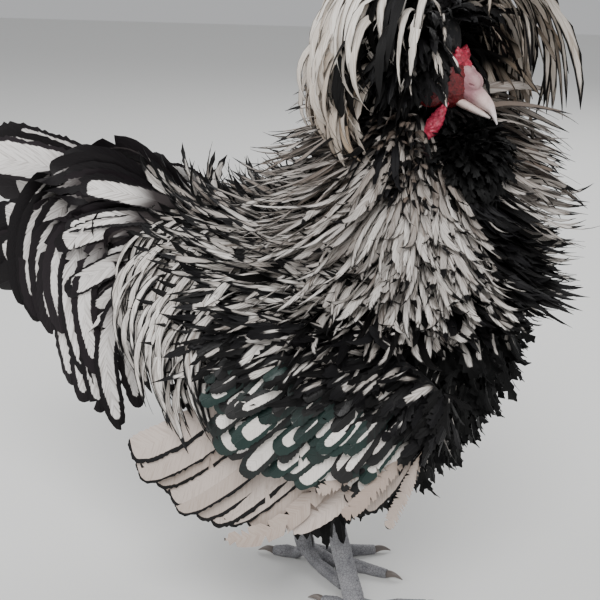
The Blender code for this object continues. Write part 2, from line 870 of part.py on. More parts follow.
def make_foot(name, collection, helpers):
    """Shank, spur and four toes in one node, cut flat at the floor, and the claws."""
    joint = FOOT_JOINT[name]
    sign = SIDES[name]
    hock = joint + Vector((-SHANK_LEAN, 0, SHANK_RISE))
    rings = []
    for share, swell in ((-0.06, 1.05), (0.06, 1.2), (0.25, 1.0), (0.7, 1.0), (1.0, 1.25)):
        radius = SHANK_RADIUS * swell
        rings.append(ellipse(joint.lerp(hock, share), hock - joint, AHEAD, radius * SHANK_FLATNESS, radius, 8))
    shank = new_object(name + "_shank", loft(rings), collection)
    pieces = []
    claws = []
    for toe, (length, spread) in TOES.items():
        angle = -math.radians(spread) * sign
        ahead = Vector((math.cos(angle), math.sin(angle), 0))
        toe_rings = []
        for share, swell in ((0, 1.15), (0.35, 0.95), (0.6, 1.1), (0.8, 0.88), (1, 0.76)):
            radius = TOE_RADIUS * swell
            middle = joint + ahead * (length * share)
            middle.z = max(radius * 0.86, (joint.z - 0.002) * (1 - share * 1.8))
            toe_rings.append(ellipse(middle, ahead, UP, radius, radius, 6))
        pieces.append(new_object("toe", loft(toe_rings), helpers))
        claws.append(make_claw(f"{name}_{toe}_claw", toe_rings[-1], ahead, collection))
    inside = Vector((-0.5, -sign, 0.2))
    spur = [
        ellipse(joint.lerp(hock, 0.42) + Vector((-0.003, -sign * reach, 0)), inside, UP, radius, radius, 6)
        for reach, radius in ((0.001, 0.0035), (0.008, 0.0028))
    ]
    spur.append([joint.lerp(hock, 0.46) + Vector((-0.009, -sign * 0.013, 0))])
    pieces.append(new_object("spur", loft(spur), helpers))
    join(shank, pieces)
    floor = bmesh.new()
    place = Matrix.Translation((joint.x, joint.y, -FLOOR_DEPTH / 2))
    bmesh.ops.create_cube(floor, size=1, matrix=place @ Matrix.Diagonal((0.3, 0.3, FLOOR_DEPTH, 1)))
    cut(shank, [new_object("floor", floor, helpers)])
    return shank, claws


def make_claw(name, toe_end, ahead, collection):
    """A claw that leaves the toe's end face, GAP clear of it, and curves down to the floor."""
    middle = sum(toe_end, Vector()) / len(toe_end)
    rings = []
    for share, radius in ((0, 0.0026), (0.45, 0.0020), (0.75, 0.0012)):
        arch = UP * (0.0012 * math.sin(math.pi * share))
        place = middle + ahead * (GAP + CLAW_LENGTH * share) + arch
        rings.append(ellipse(place, ahead, UP, radius, radius, 6))
    tip = middle + ahead * (GAP + CLAW_LENGTH)
    tip.z = 0.0012
    rings.append([tip])
    return new_object(name, loft(rings), collection)


def leg_ends(name):
    hip = mirrored(HIP, SIDES[name])
    hock = FOOT_JOINT[name] + Vector((-SHANK_LEAN, 0, SHANK_RISE))
    return hip, hock


def thigh_radius(share):
    return THIGH_RADIUS + (HOCK_RADIUS - THIGH_RADIUS) * max(0, share) ** 1.6


def make_thigh(name, collection):
    hip, hock = leg_ends(name)
    axis = hock - hip
    rings = [
        ellipse(hip + axis * share, axis, AHEAD, thigh_radius(share), thigh_radius(share), 12)
        for share in (-0.3, 0.15, 0.5, 0.8, 1.0)
    ]
    return new_object(name + "_thigh", loft(rings), collection)


def thigh_feathers(name, rng):
    """Loose black feathers that hang round the thigh to just below the hock."""
    hip, hock = leg_ends(name)
    axis = (hock - hip).normalized()
    feathers = []
    for share, count in ((0.35, 4), (0.65, 5), (0.88, 4)):
        for k in range(count):
            turn = 2 * math.pi * (k + rng.uniform(0.3, 0.7)) / count
            out = (Matrix.Rotation(turn, 3, axis) @ axis.orthogonal()).normalized()
            feathers.append(
                Feather(
                    root=hip.lerp(hock, share) + out * thigh_radius(share),
                    ways=(out * 0.6 - UP * 0.8, out * 0.35 - UP, out * 0.5 - UP * 0.9),
                    across=axis.cross(out),
                    length=rng.uniform(0.034, 0.042),
                    width=0.016,
                    away=out,
                    outline=SHORT,
                )
            )
    return feathers


def set_origin(nodes):
    """Hangs every node on an empty, which puts the origin under the bird's middle."""
    corners = [vertex.co for node in nodes for vertex in node.data.vertices]
    low = Vector([min(corner[k] for corner in corners) for k in range(3)])
    high = Vector([max(corner[k] for corner in corners) for k in range(3)])
    stand = bpy.data.objects.new("cock", None)
    bpy.context.scene.collection.objects.link(stand)
    stand.location = (-(low.x + high.x) / 2, -(low.y + high.y) / 2, -low.z)
    for node in nodes:
        node.parent = stand


def main():
    clear_scene()
    rng = random.Random(SEED)
    cock = bpy.data.collections.new("cock")
    helpers = bpy.data.collections.new("helpers")
    for group in (cock, helpers):
        bpy.context.scene.collection.children.link(group)

    torso = make_torso(cock)
    head, eyes = make_head(cock, helpers)
    upper, lower = make_bill(cock, helpers)
    cut_clear(upper, [head], helpers)
    cut_clear(lower, [head, upper], helpers)
    comb = make_comb(cock, helpers)
    cut_clear(comb, [head, upper], helpers)
    wattles = [make_wattle(name + "_wattle", sign, cock) for name, sign in SIDES.items()]
    for wattle in wattles:
        cut_clear(wattle, [head, lower], helpers)
    face = [head, *eyes, upper, lower, comb, *wattles]
    neck = make_neck(cock)
    cut_clear(neck, [torso, lower, *wattles], helpers)
    cut(neck, [skull_room(helpers)])

    feet = [make_foot(name, cock, helpers) for name in SIDES]
    shanks = [shank for shank, _ in feet]
    wings = [make_arm(name + "_wing", sign, cock) for name, sign in SIDES.items()]
    thighs = [make_thigh(name, cock) for name in SIDES]
    for wing in wings:
        cut_clear(wing, [torso], helpers)
    for thigh, shank in zip(thighs, shanks):
        cut_clear(thigh, [torso, shank, *wings], helpers)
    for wing, sign in zip(wings, SIDES.values()):
        grow(wing, wing_feathers(sign, rng), [torso, *thighs, *shanks], helpers)
    for thigh, name in zip(thighs, SIDES):
        near = [torso, *wings, *shanks, *(other for other in thighs if other != thigh)]
        grow(thigh, thigh_feathers(name, rng), near, helpers)

    tail = ellipsoid("tail", STUMP, STUMP_HALF, Matrix.Identity(3), cock, 10, 6)
    cut_clear(tail, [torso], helpers)
    for sign in SIDES.values():
        plumes = [*rectrices(sign), *sickles(sign), *tail_coverts(sign, rng)]
        grow(tail, plumes, [torso, *wings], helpers)

    crest = ellipsoid("crest", on_head(*CREST_MIDDLE), CREST_HALF, head_turn(), cock, 10, 6)
    cut(crest, [skull_room(helpers)])
    cut_clear(crest, [comb, head, neck], helpers)
    grow(crest, crest_feathers(rng), [*face, neck], helpers)
    beard = ellipsoid("beard", on_head(*BEARD_MIDDLE), BEARD_HALF, head_turn(), cock, 10, 6)
    cut_clear(beard, [neck], helpers)
    cut(beard, [skull_room(helpers)])
    grow(beard, beard_feathers(rng), [*face, neck, crest, torso], helpers)
    grow(neck, cape(rng), [torso, *wings, crest, beard, *face], helpers)
    plumage = [*breast_frizz(rng), *back_frizz(rng), *saddle(rng)]
    grow(torso, plumage, [neck, *wings, *thighs, *shanks, tail, crest, beard, *face], helpers)

    colours = {
        "plumage_laced": [neck, crest, tail, *wings],
        "plumage_black": [torso, beard, *thighs],
        "skin_red": [head, comb, *wattles],
        "bill_horn": [upper, lower],
        "shank_slate": shanks,
        "claw_horn": [claw for _, claws in feet for claw in claws],
        "eye_dark": eyes,
    }
    for colour, things in colours.items():
        for thing in things:
            finish(thing, colour)
    bpy.data.collections.remove(helpers)
    set_origin(list(cock.objects))


main()
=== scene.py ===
# Looks of a crested, bearded cock with frizzled, silver-laced plumage: skin, feathers, bill, legs and studio.
import math

import bpy
import numpy as np
from mathutils import Matrix, Vector, noise


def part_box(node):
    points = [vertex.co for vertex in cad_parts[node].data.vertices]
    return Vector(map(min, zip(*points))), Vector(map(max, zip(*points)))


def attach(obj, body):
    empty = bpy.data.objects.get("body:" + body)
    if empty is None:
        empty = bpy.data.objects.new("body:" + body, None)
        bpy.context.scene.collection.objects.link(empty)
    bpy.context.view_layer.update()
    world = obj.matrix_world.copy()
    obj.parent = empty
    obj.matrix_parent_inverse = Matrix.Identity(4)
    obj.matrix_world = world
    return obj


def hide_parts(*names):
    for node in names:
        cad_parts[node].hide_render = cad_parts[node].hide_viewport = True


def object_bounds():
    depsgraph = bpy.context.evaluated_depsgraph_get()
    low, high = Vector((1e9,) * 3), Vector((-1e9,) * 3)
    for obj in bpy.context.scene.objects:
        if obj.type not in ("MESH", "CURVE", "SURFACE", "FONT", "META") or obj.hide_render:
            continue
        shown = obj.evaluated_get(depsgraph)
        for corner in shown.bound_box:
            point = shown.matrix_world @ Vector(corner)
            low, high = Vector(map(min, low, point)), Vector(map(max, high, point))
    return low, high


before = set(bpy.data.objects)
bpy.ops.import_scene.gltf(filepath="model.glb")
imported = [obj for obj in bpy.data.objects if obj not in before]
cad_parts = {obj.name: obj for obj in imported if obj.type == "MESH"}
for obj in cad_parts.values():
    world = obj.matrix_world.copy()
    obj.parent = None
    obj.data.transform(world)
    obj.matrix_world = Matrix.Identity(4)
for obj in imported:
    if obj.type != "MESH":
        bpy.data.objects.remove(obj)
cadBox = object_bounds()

rng = np.random.default_rng(11)
ahead = np.array([1.0, 0.0, 0.0])
leftward = np.array([0.0, 1.0, 0.0])
up = np.array([0.0, 0.0, 1.0])
sides = {"right": -1, "left": 1}

# The bird's own build, as its solids have it, in metres.
torsoForm = {
    "tailX": -0.096, "breastX": 0.148, "halfWidth": 0.086, "halfDepth": 0.088, "midZ": 0.187,
    "tailRise": 0.062, "breastRise": 0.050, "lowestShare": 0.6,
}
neckForm = {
    "base": (0.078, 0, 0.235), "top": (0.072, 0, 0.354), "baseRadius": 0.056, "topRadius": 0.020,
    "bow": 0.010,
}
headForm = {
    "skull": (0.090, 0, 0.372), "yaw": 4, "pitch": 21, "skullHalf": (0.026, 0.0185, 0.0205),
    "eyeAt": (0.006, 0.0150, 0.002), "eyeRadius": 0.0058, "billRoot": 0.0193, "billLength": 0.034,
    "crestAt": (-0.012, 0, 0.015), "crestHalf": (0.024, 0.0235, 0.027),
    "beardAt": (0.040, 0, -0.040), "beardHalf": (0.018, 0.024, 0.019),
}
legForm = {
    "right": (0.055, -0.028, 0.011), "left": (-0.008, 0.028, 0.011), "rise": 0.080, "lean": 0.022,
    "radius": 0.0062, "hip": (0.022, 0.046, 0.140), "thighRadius": 0.036, "hockRadius": 0.011,
    "toeRadius": 0.0046,
}
wingForm = {
    "mid": (0.060, 0.090, 0.196), "half": (0.078, 0.014, 0.036), "pitch": 10, "yaw": 7,
    "wrist": (0.116, 0.086, 0.168), "elbow": (0.006, 0.098, 0.186),
}
stumpAt = np.array([-0.096, 0.0, 0.258])
stumpHalf = (0.024, 0.018, 0.020)


def turned(yaw, pitch):
    # a nod and then a turn to the left, in degrees
    return np.array(Matrix.Rotation(math.radians(yaw), 3, "Z") @ Matrix.Rotation(math.radians(pitch), 3, "Y"))


def mirrored(place, sign):
    return np.array(place) * np.array([1, sign, 1])


def unit(vectors):
    return vectors / np.maximum(np.linalg.norm(vectors, axis=-1, keepdims=True), 1e-9)


def flatWay(angle):
    # the level way at an angle, in radians, from the front to the left
    return np.stack([np.cos(angle), np.sin(angle), np.zeros_like(angle)], axis=-1)


def bearing(degrees):
    return flatWay(np.radians(degrees))


def toward(out, degrees, steep=1, low=0):
    # how far each way faces a bearing, from nought to one
    return np.clip(out @ bearing(degrees) * steep - low, 0, 1)


def shares(count):
    # even steps from nought to one
    return [k / (count - 1) for k in range(count)]


def only(fields, which):
    # the same fields, for only some of their rows
    return {key: value[which] for key, value in fields.items()}


headTurn = turned(headForm["yaw"], headForm["pitch"])


def onHead(forward, left, above):
    return np.array(headForm["skull"]) + headTurn @ np.array([forward, left, above])


# The frame's origin lies under the middle of the box. An eye's place gives the way from one to the other.
eyeLow, eyeHigh = (np.array(corner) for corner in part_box("right_eye"))
eyeForward, eyeOut, eyeUp = headForm["eyeAt"]
origin = (eyeLow + eyeHigh) / 2 - onHead(eyeForward, -eyeOut, eyeUp)


def headSpot(forward, left, above):
    return origin + onHead(forward, left, above)


def hockOf(name):
    return np.array(legForm[name]) + np.array([-legForm["lean"], 0, legForm["rise"]])


# Surfaces. Each gives points of the flesh at shares t along it and angles round it.

def torsoSpot(t, angle):
    form = torsoForm
    low = form["lowestShare"]
    x = form["tailX"] + (form["breastX"] - form["tailX"]) * t
    behind = form["tailRise"] * np.clip(1 - t / low, 0, None) ** 2
    before = form["breastRise"] * np.clip((t - low) / (1 - low), 0, None) ** 2
    share = np.sin(np.pi * np.clip(t, 0.0005, 0.9995) ** 1.15) ** 0.5
    y = form["halfWidth"] * share * np.sin(angle)
    z = form["midZ"] + behind + before + form["halfDepth"] * share * np.cos(angle)
    return origin + np.stack([x, y, z], axis=-1)


def neckSpot(t, angle):
    # t runs down from the skull, and the angle from the front to the left
    form = neckForm
    rise = (1 - t)[..., None]
    middle = np.array(form["base"]) * (1 - rise) + np.array(form["top"]) * rise
    middle = middle + ahead * form["bow"] * np.sin(np.pi * rise)
    radius = form["topRadius"] + (form["baseRadius"] - form["topRadius"]) * (1 - rise) ** 1.4
    return origin + middle + flatWay(angle) * radius


def ballSpot(middle, half, turn):
    # t runs from the top pole to the bottom one, and the angle from the front to the left
    def spot(t, angle):
        ring = np.sin(np.pi * t)
        flat = np.stack([ring * np.cos(angle), ring * np.sin(angle), np.cos(np.pi * t)], axis=-1)
        return origin + middle + (flat * np.array(half)) @ turn.T
    return spot


def thighSpot(name):
    hip = mirrored(legForm["hip"], sides[name])
    hock = hockOf(name)
    axis = unit(hock - hip)
    front = unit(ahead - axis * ahead.dot(axis))
    flank = np.cross(front, axis)

    def spot(t, angle):
        fall = t[..., None]
        thinner = (legForm["hockRadius"] - legForm["thighRadius"]) * np.clip(fall, 0, 1) ** 1.6
        ringWay = np.cos(angle)[..., None] * front + np.sin(angle)[..., None] * flank
        return origin + hip + (hock - hip) * fall + ringWay * (legForm["thighRadius"] + thinner)
    return spot


def surfaceFrame(spot, t, angle):
    step = 0.004
    along = spot(t + step, angle) - spot(t - step, angle)
    around = spot(t, angle + step) - spot(t, angle - step)
    cross = np.cross(along, around)
    area = np.linalg.norm(cross, axis=-1) / (2 * step) ** 2
    return spot(t, angle), unit(cross), area


walkSteps = (0.7548776662, 0.5698402910)  # shares of both spans, by which points never bunch


def scatter(spot, form):
    # an even walk over the surface, thinned so that each stretch gets its share by area
    low, high = form["tSpan"]
    first, last = (math.radians(angle) for angle in form["angleSpan"])
    probe = np.linspace(0.01, 0.99, 24)
    grid = np.stack(np.meshgrid(low + (high - low) * probe, first + (last - first) * probe), -1)
    grid = grid.reshape(-1, 2)
    most = surfaceFrame(spot, grid[:, 0], grid[:, 1])[2].max()
    count = int(most * (high - low) * (last - first) / form["spacing"]**2)
    walk = np.arange(count)
    t = low + (high - low) * ((0.5 + walk * walkSteps[0]) % 1)
    angle = first + (last - first) * ((0.5 + walk * walkSteps[1]) % 1)
    point, normal, area = surfaceFrame(spot, t, angle)
    kept = rng.random(count) < area / most
    return {"t": t[kept], "angle": angle[kept], "root": point[kept], "normal": normal[kept]}


# Feathers: outlines as half widths, shares of the whole, at shares of the length.
outlines = {
    "lancet": (
        (0, 0.10), (0.06, 0.45), (0.2, 0.85), (0.4, 1.0), (0.62, 0.86), (0.82, 0.5), (0.94, 0.22), (1, 0.02),
    ),
    "hackle": ((0, 0.10), (0.08, 0.55), (0.3, 0.85), (0.55, 1.0), (0.78, 0.78), (0.92, 0.4), (1, 0.03)),
    "round": (
        (0, 0.08), (0.1, 0.5), (0.35, 0.9), (0.6, 1.0), (0.78, 0.93), (0.9, 0.7), (0.97, 0.4), (1, 0.12),
    ),
    "fluff": ((0, 0.15), (0.15, 0.8), (0.4, 1.0), (0.7, 0.85), (0.9, 0.5), (1, 0.06)),
    "quill": (
        (0, 0.05), (0.08, 0.25), (0.22, 0.8), (0.5, 1.0), (0.82, 1.0), (0.93, 0.8), (0.98, 0.45), (1, 0.12),
    ),
    "sickle": (
        (0, 0.06), (0.1, 0.5), (0.25, 0.9), (0.5, 1.0), (0.8, 0.95), (0.92, 0.72), (0.98, 0.35), (1, 0.05),
    ),
}
# One vane's make: how deep its teeth bite, the share left at a split, its wear, how its shaft thins, and
# how deep its root sits.
blade = {"bite": (0.5, 1.0), "splitShare": 0.3, "wear": (0.93, 1.05), "thinning": 0.75, "rootDepth": 0.002}
edges = ((0, 1, 0), (2, -1, 1))  # for each edge of a vane: its corner of the ring, its way and its column
blanks = {}


def tubeBlank(around, segments):
    # a closed tube with even rings, cut from a cylinder: the ring and side of each corner of its faces
    if (around, segments) in blanks:
        return blanks[around, segments]
    bpy.ops.object.select_all(action="DESELECT")
    bpy.ops.mesh.primitive_cylinder_add(vertices=around, radius=1, depth=1, end_fill_type="NGON")
    tube = bpy.context.object
    bpy.context.tool_settings.mesh_select_mode = (False, True, False)
    bpy.ops.object.mode_set(mode="EDIT")
    bpy.ops.mesh.select_all(action="DESELECT")
    bpy.ops.object.mode_set(mode="OBJECT")
    for edge in tube.data.edges:
        low, high = (tube.data.vertices[k].co.z for k in edge.vertices)
        edge.select = abs(high - low) > 0.5
    bpy.ops.object.mode_set(mode="EDIT")
    bpy.ops.mesh.subdivide(number_cuts=segments - 1)
    bpy.ops.object.mode_set(mode="OBJECT")
    order = []
    for vertex in tube.data.vertices:
        ring = round((vertex.co.z + 0.5) * segments)
        side = round((math.atan2(vertex.co.y, vertex.co.x) - math.pi / 2) / (2 * math.pi / around)) % around
        order.append(ring * around + side)
    faces = [[order[k] for k in face.vertices] for face in tube.data.polygons]
    bpy.data.objects.remove(tube)
    blanks[around, segments] = faces
    return faces


def meshFromRings(name, rings, faces):
    # many like tubes as one mesh: rings has the shape (tubes, rings, sides, 3)
    tubes, count, around, _ = rings.shape
    starts = np.arange(tubes) * count * around
    corners = np.concatenate([np.array(face) for face in faces])
    sizes = np.array([len(face) for face in faces])
    loops = (starts[:, None] + corners[None, :]).reshape(-1)
    totals = np.tile(sizes, tubes)
    mesh = bpy.data.meshes.new(name)
    mesh.vertices.add(tubes * count * around)
    mesh.vertices.foreach_set("co", rings.astype(np.float32).reshape(-1))
    mesh.loops.add(len(loops))
    mesh.loops.foreach_set("vertex_index", loops.astype(np.int32))
    mesh.polygons.add(len(totals))
    mesh.polygons.foreach_set("loop_start", (np.cumsum(totals) - totals).astype(np.int32))
    mesh.update(calc_edges=True)
    mesh.validate()
    piece = bpy.data.objects.new(name, mesh)
    bpy.context.scene.collection.objects.link(piece)
    return piece, loops


def layFeathers(name, tracts, segments, material):
    # one mesh of closed, thin vanes. Each follows its headings, and its barbs sweep forward in ragged clumps.
    field = {key: np.concatenate([tract[key] for tract in tracts]) for key in tracts[0]}
    count = len(field["root"])
    stations = np.linspace(0, 1, segments + 1)
    ways = field["ways"]
    place = stations * (ways.shape[1] - 1)
    low = np.minimum(place.astype(int), ways.shape[1] - 2)
    share = (place - low)[None, :, None]
    head = unit(ways[:, low] * (1 - share) + ways[:, low + 1] * share)
    length = field["length"][:, None, None]
    steps = (head[:, 1:] + head[:, :-1]) / 2 * length / segments
    steps = np.concatenate([np.zeros((count, 1, 3)), np.cumsum(steps, axis=1)], axis=1)
    shaft = field["root"][:, None] + steps
    across = field["across"][:, None]
    side = unit(across - head * np.sum(across * head, axis=-1, keepdims=True))
    normal = np.cross(head, side)
    turn = (field["twist"][:, None] * stations)[..., None]
    side, normal = side * np.cos(turn) + normal * np.sin(turn), normal * np.cos(turn) - side * np.sin(turn)

    full = np.concatenate([
        np.tile(np.interp(stations, *zip(*outlines[tract["shape"][0]])), (len(tract["root"]), 1))
        for tract in tracts
    ])
    full = full * field["width"][:, None] / 2
    teeth = np.arange(segments + 1) % 2
    notch = field["notch"][:, None, None]
    ragged = 1 - teeth[None, :, None] * notch * rng.uniform(*blade["bite"], (count, segments + 1, 2))
    split = rng.random((count, segments + 1, 2)) < field["split"][:, None, None]
    ragged = np.where(split & (teeth[None, :, None] == 1), blade["splitShare"], ragged)
    ragged *= rng.uniform(*blade["wear"], (count, segments + 1, 2))
    reach = full[..., None] * ragged
    thick = (field["thick"][:, None] * (1 - blade["thinning"] * stations) / 2)[..., None]
    sweep = field["sweep"][:, None, None]
    cup = field["cup"][:, None, None]
    rings = np.empty((count, segments + 1, 4, 3))
    for corner, way, k in edges:
        out = reach[..., k:k + 1]
        rings[:, :, corner] = shaft + side * way * out + head * sweep * out - normal * cup * out
    rings[:, :, 1] = shaft + normal * thick
    rings[:, :, 3] = shaft - normal * thick

    piece, loops = meshFromRings(name, rings, tubeBlank(4, segments))
    mesh = piece.data
    vane = np.zeros((count, segments + 1, 4, 4))
    toTip = (1 - stations) * field["length"][:, None]
    vane[..., 1] = toTip[..., None]
    vane[..., 3] = stations[None, :, None]
    for corner, way, k in edges:
        vane[:, :, corner, 0] = way * reach[..., k]
        vane[:, :, corner, 1] -= field["sweep"][:, None] * reach[..., k]
        unlaced = np.maximum(field["plain"] * -way, 0)[:, None]
        vane[:, :, corner, 2] = np.maximum(full - reach[..., k], 0) + unlaced
    vane[:, :, 1, 2] = full
    vane[:, :, 3, 2] = full
    vane[..., :3] *= 100
    layer = mesh.attributes.new("vane", "FLOAT_COLOR", "POINT")
    layer.data.foreach_set("color", vane.astype(np.float32).reshape(-1))
    mark = np.repeat(field["mark"], (segments + 1) * 4, axis=0)
    layer = mesh.attributes.new("mark", "FLOAT_COLOR", "POINT")
    layer.data.foreach_set("color", mark.astype(np.float32).reshape(-1))

    widest = full.max(axis=1)[:, None, None]
    patch = field["patch"][:, None, None]
    bake = np.empty((count, segments + 1, 4, 2))
    bake[..., 0] = field["bake"][:, None, None, 0] + patch * (vane[..., 0] / 100 / widest / 2 * 0.8)
    bake[..., 1] = field["bake"][:, None, None, 1] + patch * (stations[None, :, None] - 0.5)
    flat = bake.reshape(-1, 2)
    uvs = mesh.uv_layers.new(name="OFBake")
    uvs.uv.foreach_set("vector", flat[loops].astype(np.float32).reshape(-1))
    mesh.shade_smooth()
    mesh.set_sharp_from_angle(angle=math.radians(70))
    mesh.materials.append(material)
    print(name, count, "feathers,", count * (segments * 8 + 4), "triangles")
    return piece


def dress(settings, root, ways, across, bake):
    # what each feather of a tract needs: its headings from root to tip, its breadth's way and its own sizes
    count = len(root)
    stray = settings["stray"]
    ways = unit(ways) + rng.normal(0, stray, (count, 1, 3))
    ways = unit(ways + rng.normal(0, stray * 0.5, (count, ways.shape[1], 3)))

    def each(key, default=None):
        value = settings.get(key, default)
        return rng.uniform(*value, count) if isinstance(value, tuple) else np.full(count, float(value))

    mark = np.stack([each("lace") * 100, each("tip") * 100, each("stain"), rng.random(count)], axis=-1)
    return {
        "root": root - ways[:, 0] * blade["rootDepth"],
        "ways": ways,
        "across": across + rng.normal(0, settings.get("roll", stray), (count, 3)),
        "length": each("length"),
        "width": each("width"),
        "twist": each("twist", (-0.3, 0.3)),
        "notch": each("notch", 0.25),
        "split": each("split", 0.12),
        "thick": each("thick", 0.0007),
        "sweep": each("sweep", 0.7),
        "cup": each("cup", (0.1, 0.3)),
        "patch": each("patch", 0.003),
        "plain": each("plain", 0),
        "shape": np.array([settings["shape"]] * count),
        "mark": mark,
        "bake": 0.02 + 0.96 * bake,
    }


def tractOf(settings, places, lie, bake):
    # a tract whose curl says, from root to tip, how far each heading goes out, along the lie and up
    normal = places["normal"]
    lie = unit(lie - normal * np.sum(lie * normal, axis=-1, keepdims=True))
    curl = np.array(settings["curl"])
    ways = normal[:, None] * curl[None, :, 0:1] + lie[:, None] * curl[None, :, 1:2] + up * curl[None, :, 2:3]
    return dress(settings, places["root"], ways, np.cross(normal, lie), bake)


# Materials. Colours are sRGB hex, turned to linear.

def linear(code):
    parts = [int(code[k:k + 2], 16) / 255 for k in (1, 3, 5)]
    return (*(c / 12.92 if c <= 0.04045 else ((c + 0.055) / 1.055) ** 2.4 for c in parts), 1)


def feed(tree, node, inputs):
    # what each of a node's sockets holds or is fed by
    for key, value in inputs.items():
        if isinstance(value, bpy.types.NodeSocket):
            tree.links.new(value, node.inputs[key])
        else:
            node.inputs[key].default_value = value


def add(tree, kind, inputs=None, **settings):
    # one node, with its own settings and its sockets fed
    node = tree.nodes.new(kind)
    for key, value in settings.items():
        setattr(node, key, value)
    feed(tree, node, inputs or {})
    return node.outputs


# The kinds of node and the settings that come back in most of the materials.
mathNode, rangeNode, mixNode = "ShaderNodeMath", "ShaderNodeMapRange", "ShaderNodeMix"
noiseNode, cellNode = "ShaderNodeTexNoise", "ShaderNodeTexVoronoi"
operations = ("ADD", "SUBTRACT", "MULTIPLY", "MULTIPLY_ADD")
plus, minus, times, timesPlus = ({"operation": way} for way in operations)
eased = {"interpolation_type": "SMOOTHSTEP"}
ofColour = {"data_type": "RGBA"}


def newMaterial(name, colour, roughness):
    made = bpy.data.materials.new(name)
    made.use_nodes = True
    shader = made.node_tree.nodes["Principled BSDF"]
    feed(made.node_tree, shader, {"Base Color": linear(colour), "Roughness": roughness})
    return made, made.node_tree, shader


# down is the colour at each vane's root: partly its slate down, partly painted shade where the feathers
# overlap
vaneLook = {
    "pale": "#ebe6e0", "stainAndBarbShade": "#6c6057", "dark": "#090808", "gloss": "#111012", "down": "#2a2624",
    "barbCm": 0.48, "lean": 6.0, "ragCm": 0.07, "roundCm": 0.2, "rough": 0.46, "specular": 0.2,
    "downAndShadeSpan": (0.05, 0.4), "bump": 0.5, "shadeLow": 0.05, "softCm": 0.055,
}


def vaneMaterial(name, look):
    # Feather keratin, dull where pale. Barbs are drawn about three times too coarse, to show as streaks; the
    # darker streaks between them are painted shade.
    made, tree, shader = newMaterial(name, look["pale"], 0.6)
    vane = add(tree, "ShaderNodeAttribute", attribute_name="vane")
    mark = add(tree, "ShaderNodeAttribute", attribute_name="mark")
    across, toTip, edge = add(tree, "ShaderNodeSeparateXYZ", {0: vane["Vector"]})
    lace, tip, stain = add(tree, "ShaderNodeSeparateXYZ", {0: mark["Vector"]})
    share, tone = vane["Alpha"], mark["Alpha"]
    off = add(tree, mathNode, {0: across}, operation="ABSOLUTE")[0]
    barb = add(tree, mathNode, {0: off, 1: look["lean"], 2: toTip}, **timesPlus)[0]
    barb = add(tree, mathNode, {0: barb, 1: 1 / look["barbCm"]}, **times)[0]
    toneShift = add(tree, mathNode, {0: tone, 1: 60.0}, **times)[0]
    place = add(tree, "ShaderNodeCombineXYZ", {0: barb, 1: across, 2: toneShift})[0]
    clump = add(tree, noiseNode, {"Vector": place, "Scale": 1.0, "Detail": 3.0, "Roughness": 0.65})[0]
    rag = add(tree, mathNode, {0: clump, 1: look["ragCm"] * 4, 2: look["ragCm"] * -2}, **timesPlus)[0]
    rim = add(tree, mathNode, {0: edge, 1: lace}, **minus)[0]
    end = add(tree, mathNode, {0: toTip, 1: tip}, **minus)[0]
    inward = add(tree, mathNode, {0: rim, 1: end, 2: look["roundCm"]}, operation="SMOOTH_MIN")[0]
    inward = add(tree, mathNode, {0: inward, 1: rag}, **plus)[0]
    inner = add(tree, rangeNode, {0: inward, 1: -look["softCm"], 2: look["softCm"]}, **eased)[0]
    pale = add(tree, mixNode, {0: stain, 6: linear(look["pale"]), 7: linear(look["stainAndBarbShade"])}, **ofColour)[2]
    # painted shade between the barbs: where the clumps part, the pale goes toward the stained colour, with a
    # random tone per feather
    shade = add(tree, rangeNode, {0: clump, 1: 0.36, 2: 0.56, 3: look["shadeLow"], 4: 0.95})[0]
    shade = add(tree, mathNode, {0: tone, 1: 0.2, 2: shade}, **timesPlus)[0]
    shade = add(tree, mathNode, {0: shade, 1: 1.0}, operation="MINIMUM")[0]
    pale = add(tree, mixNode, {0: shade, 6: linear(look["stainAndBarbShade"]), 7: pale}, **ofColour)[2]
    # each vane darkens toward the down colour at its root: partly the slate down there, partly painted shade
    # where feathers overlap
    downShadeFrom, downShadeTo = look["downAndShadeSpan"]
    base = add(tree, rangeNode, {0: share, 1: downShadeFrom, 2: downShadeTo}, **eased)[0]
    pale = add(tree, mixNode, {0: base, 6: linear(look["down"]), 7: pale}, **ofColour)[2]
    # painted sheen: random patches of the dark vane tinted toward the gloss colour, a green-black gleam
    # painted into the colour
    sheen = add(tree, mathNode, {0: tone, 1: 0.7}, **times)[0]
    sheen = add(tree, mathNode, {0: clump, 1: 0.6, 2: sheen}, **timesPlus)[0]
    sheen = add(tree, rangeNode, {0: sheen, 1: 0.55, 2: 0.95}, **eased)[0]
    dark = add(tree, mixNode, {0: sheen, 6: linear(look["dark"]), 7: linear(look["gloss"])}, **ofColour)[2]
    colour = add(tree, mixNode, {0: inner, 6: dark, 7: pale}, **ofColour)[2]
    rough = add(tree, mathNode, {0: clump, 1: 0.2, 2: look["rough"]}, **timesPlus)[0]
    rough = add(tree, mathNode, {0: inner, 1: 0.2, 2: rough}, **timesPlus)[0]
    rachis = add(tree, rangeNode, {0: off, 1: 0.0, 2: 0.05, 3: 1.0, 4: 0.0}, **eased)[0]
    height = add(tree, mathNode, {0: rachis, 1: 0.6, 2: clump}, **timesPlus)[0]
    bump = add(tree, "ShaderNodeBump", {"Strength": look["bump"], "Distance": 0.0006, "Height": height})[0]
    feed(tree, shader, {
        "Base Color": colour, "Roughness": rough, "Normal": bump, "Specular IOR Level": look["specular"],
    })
    return made


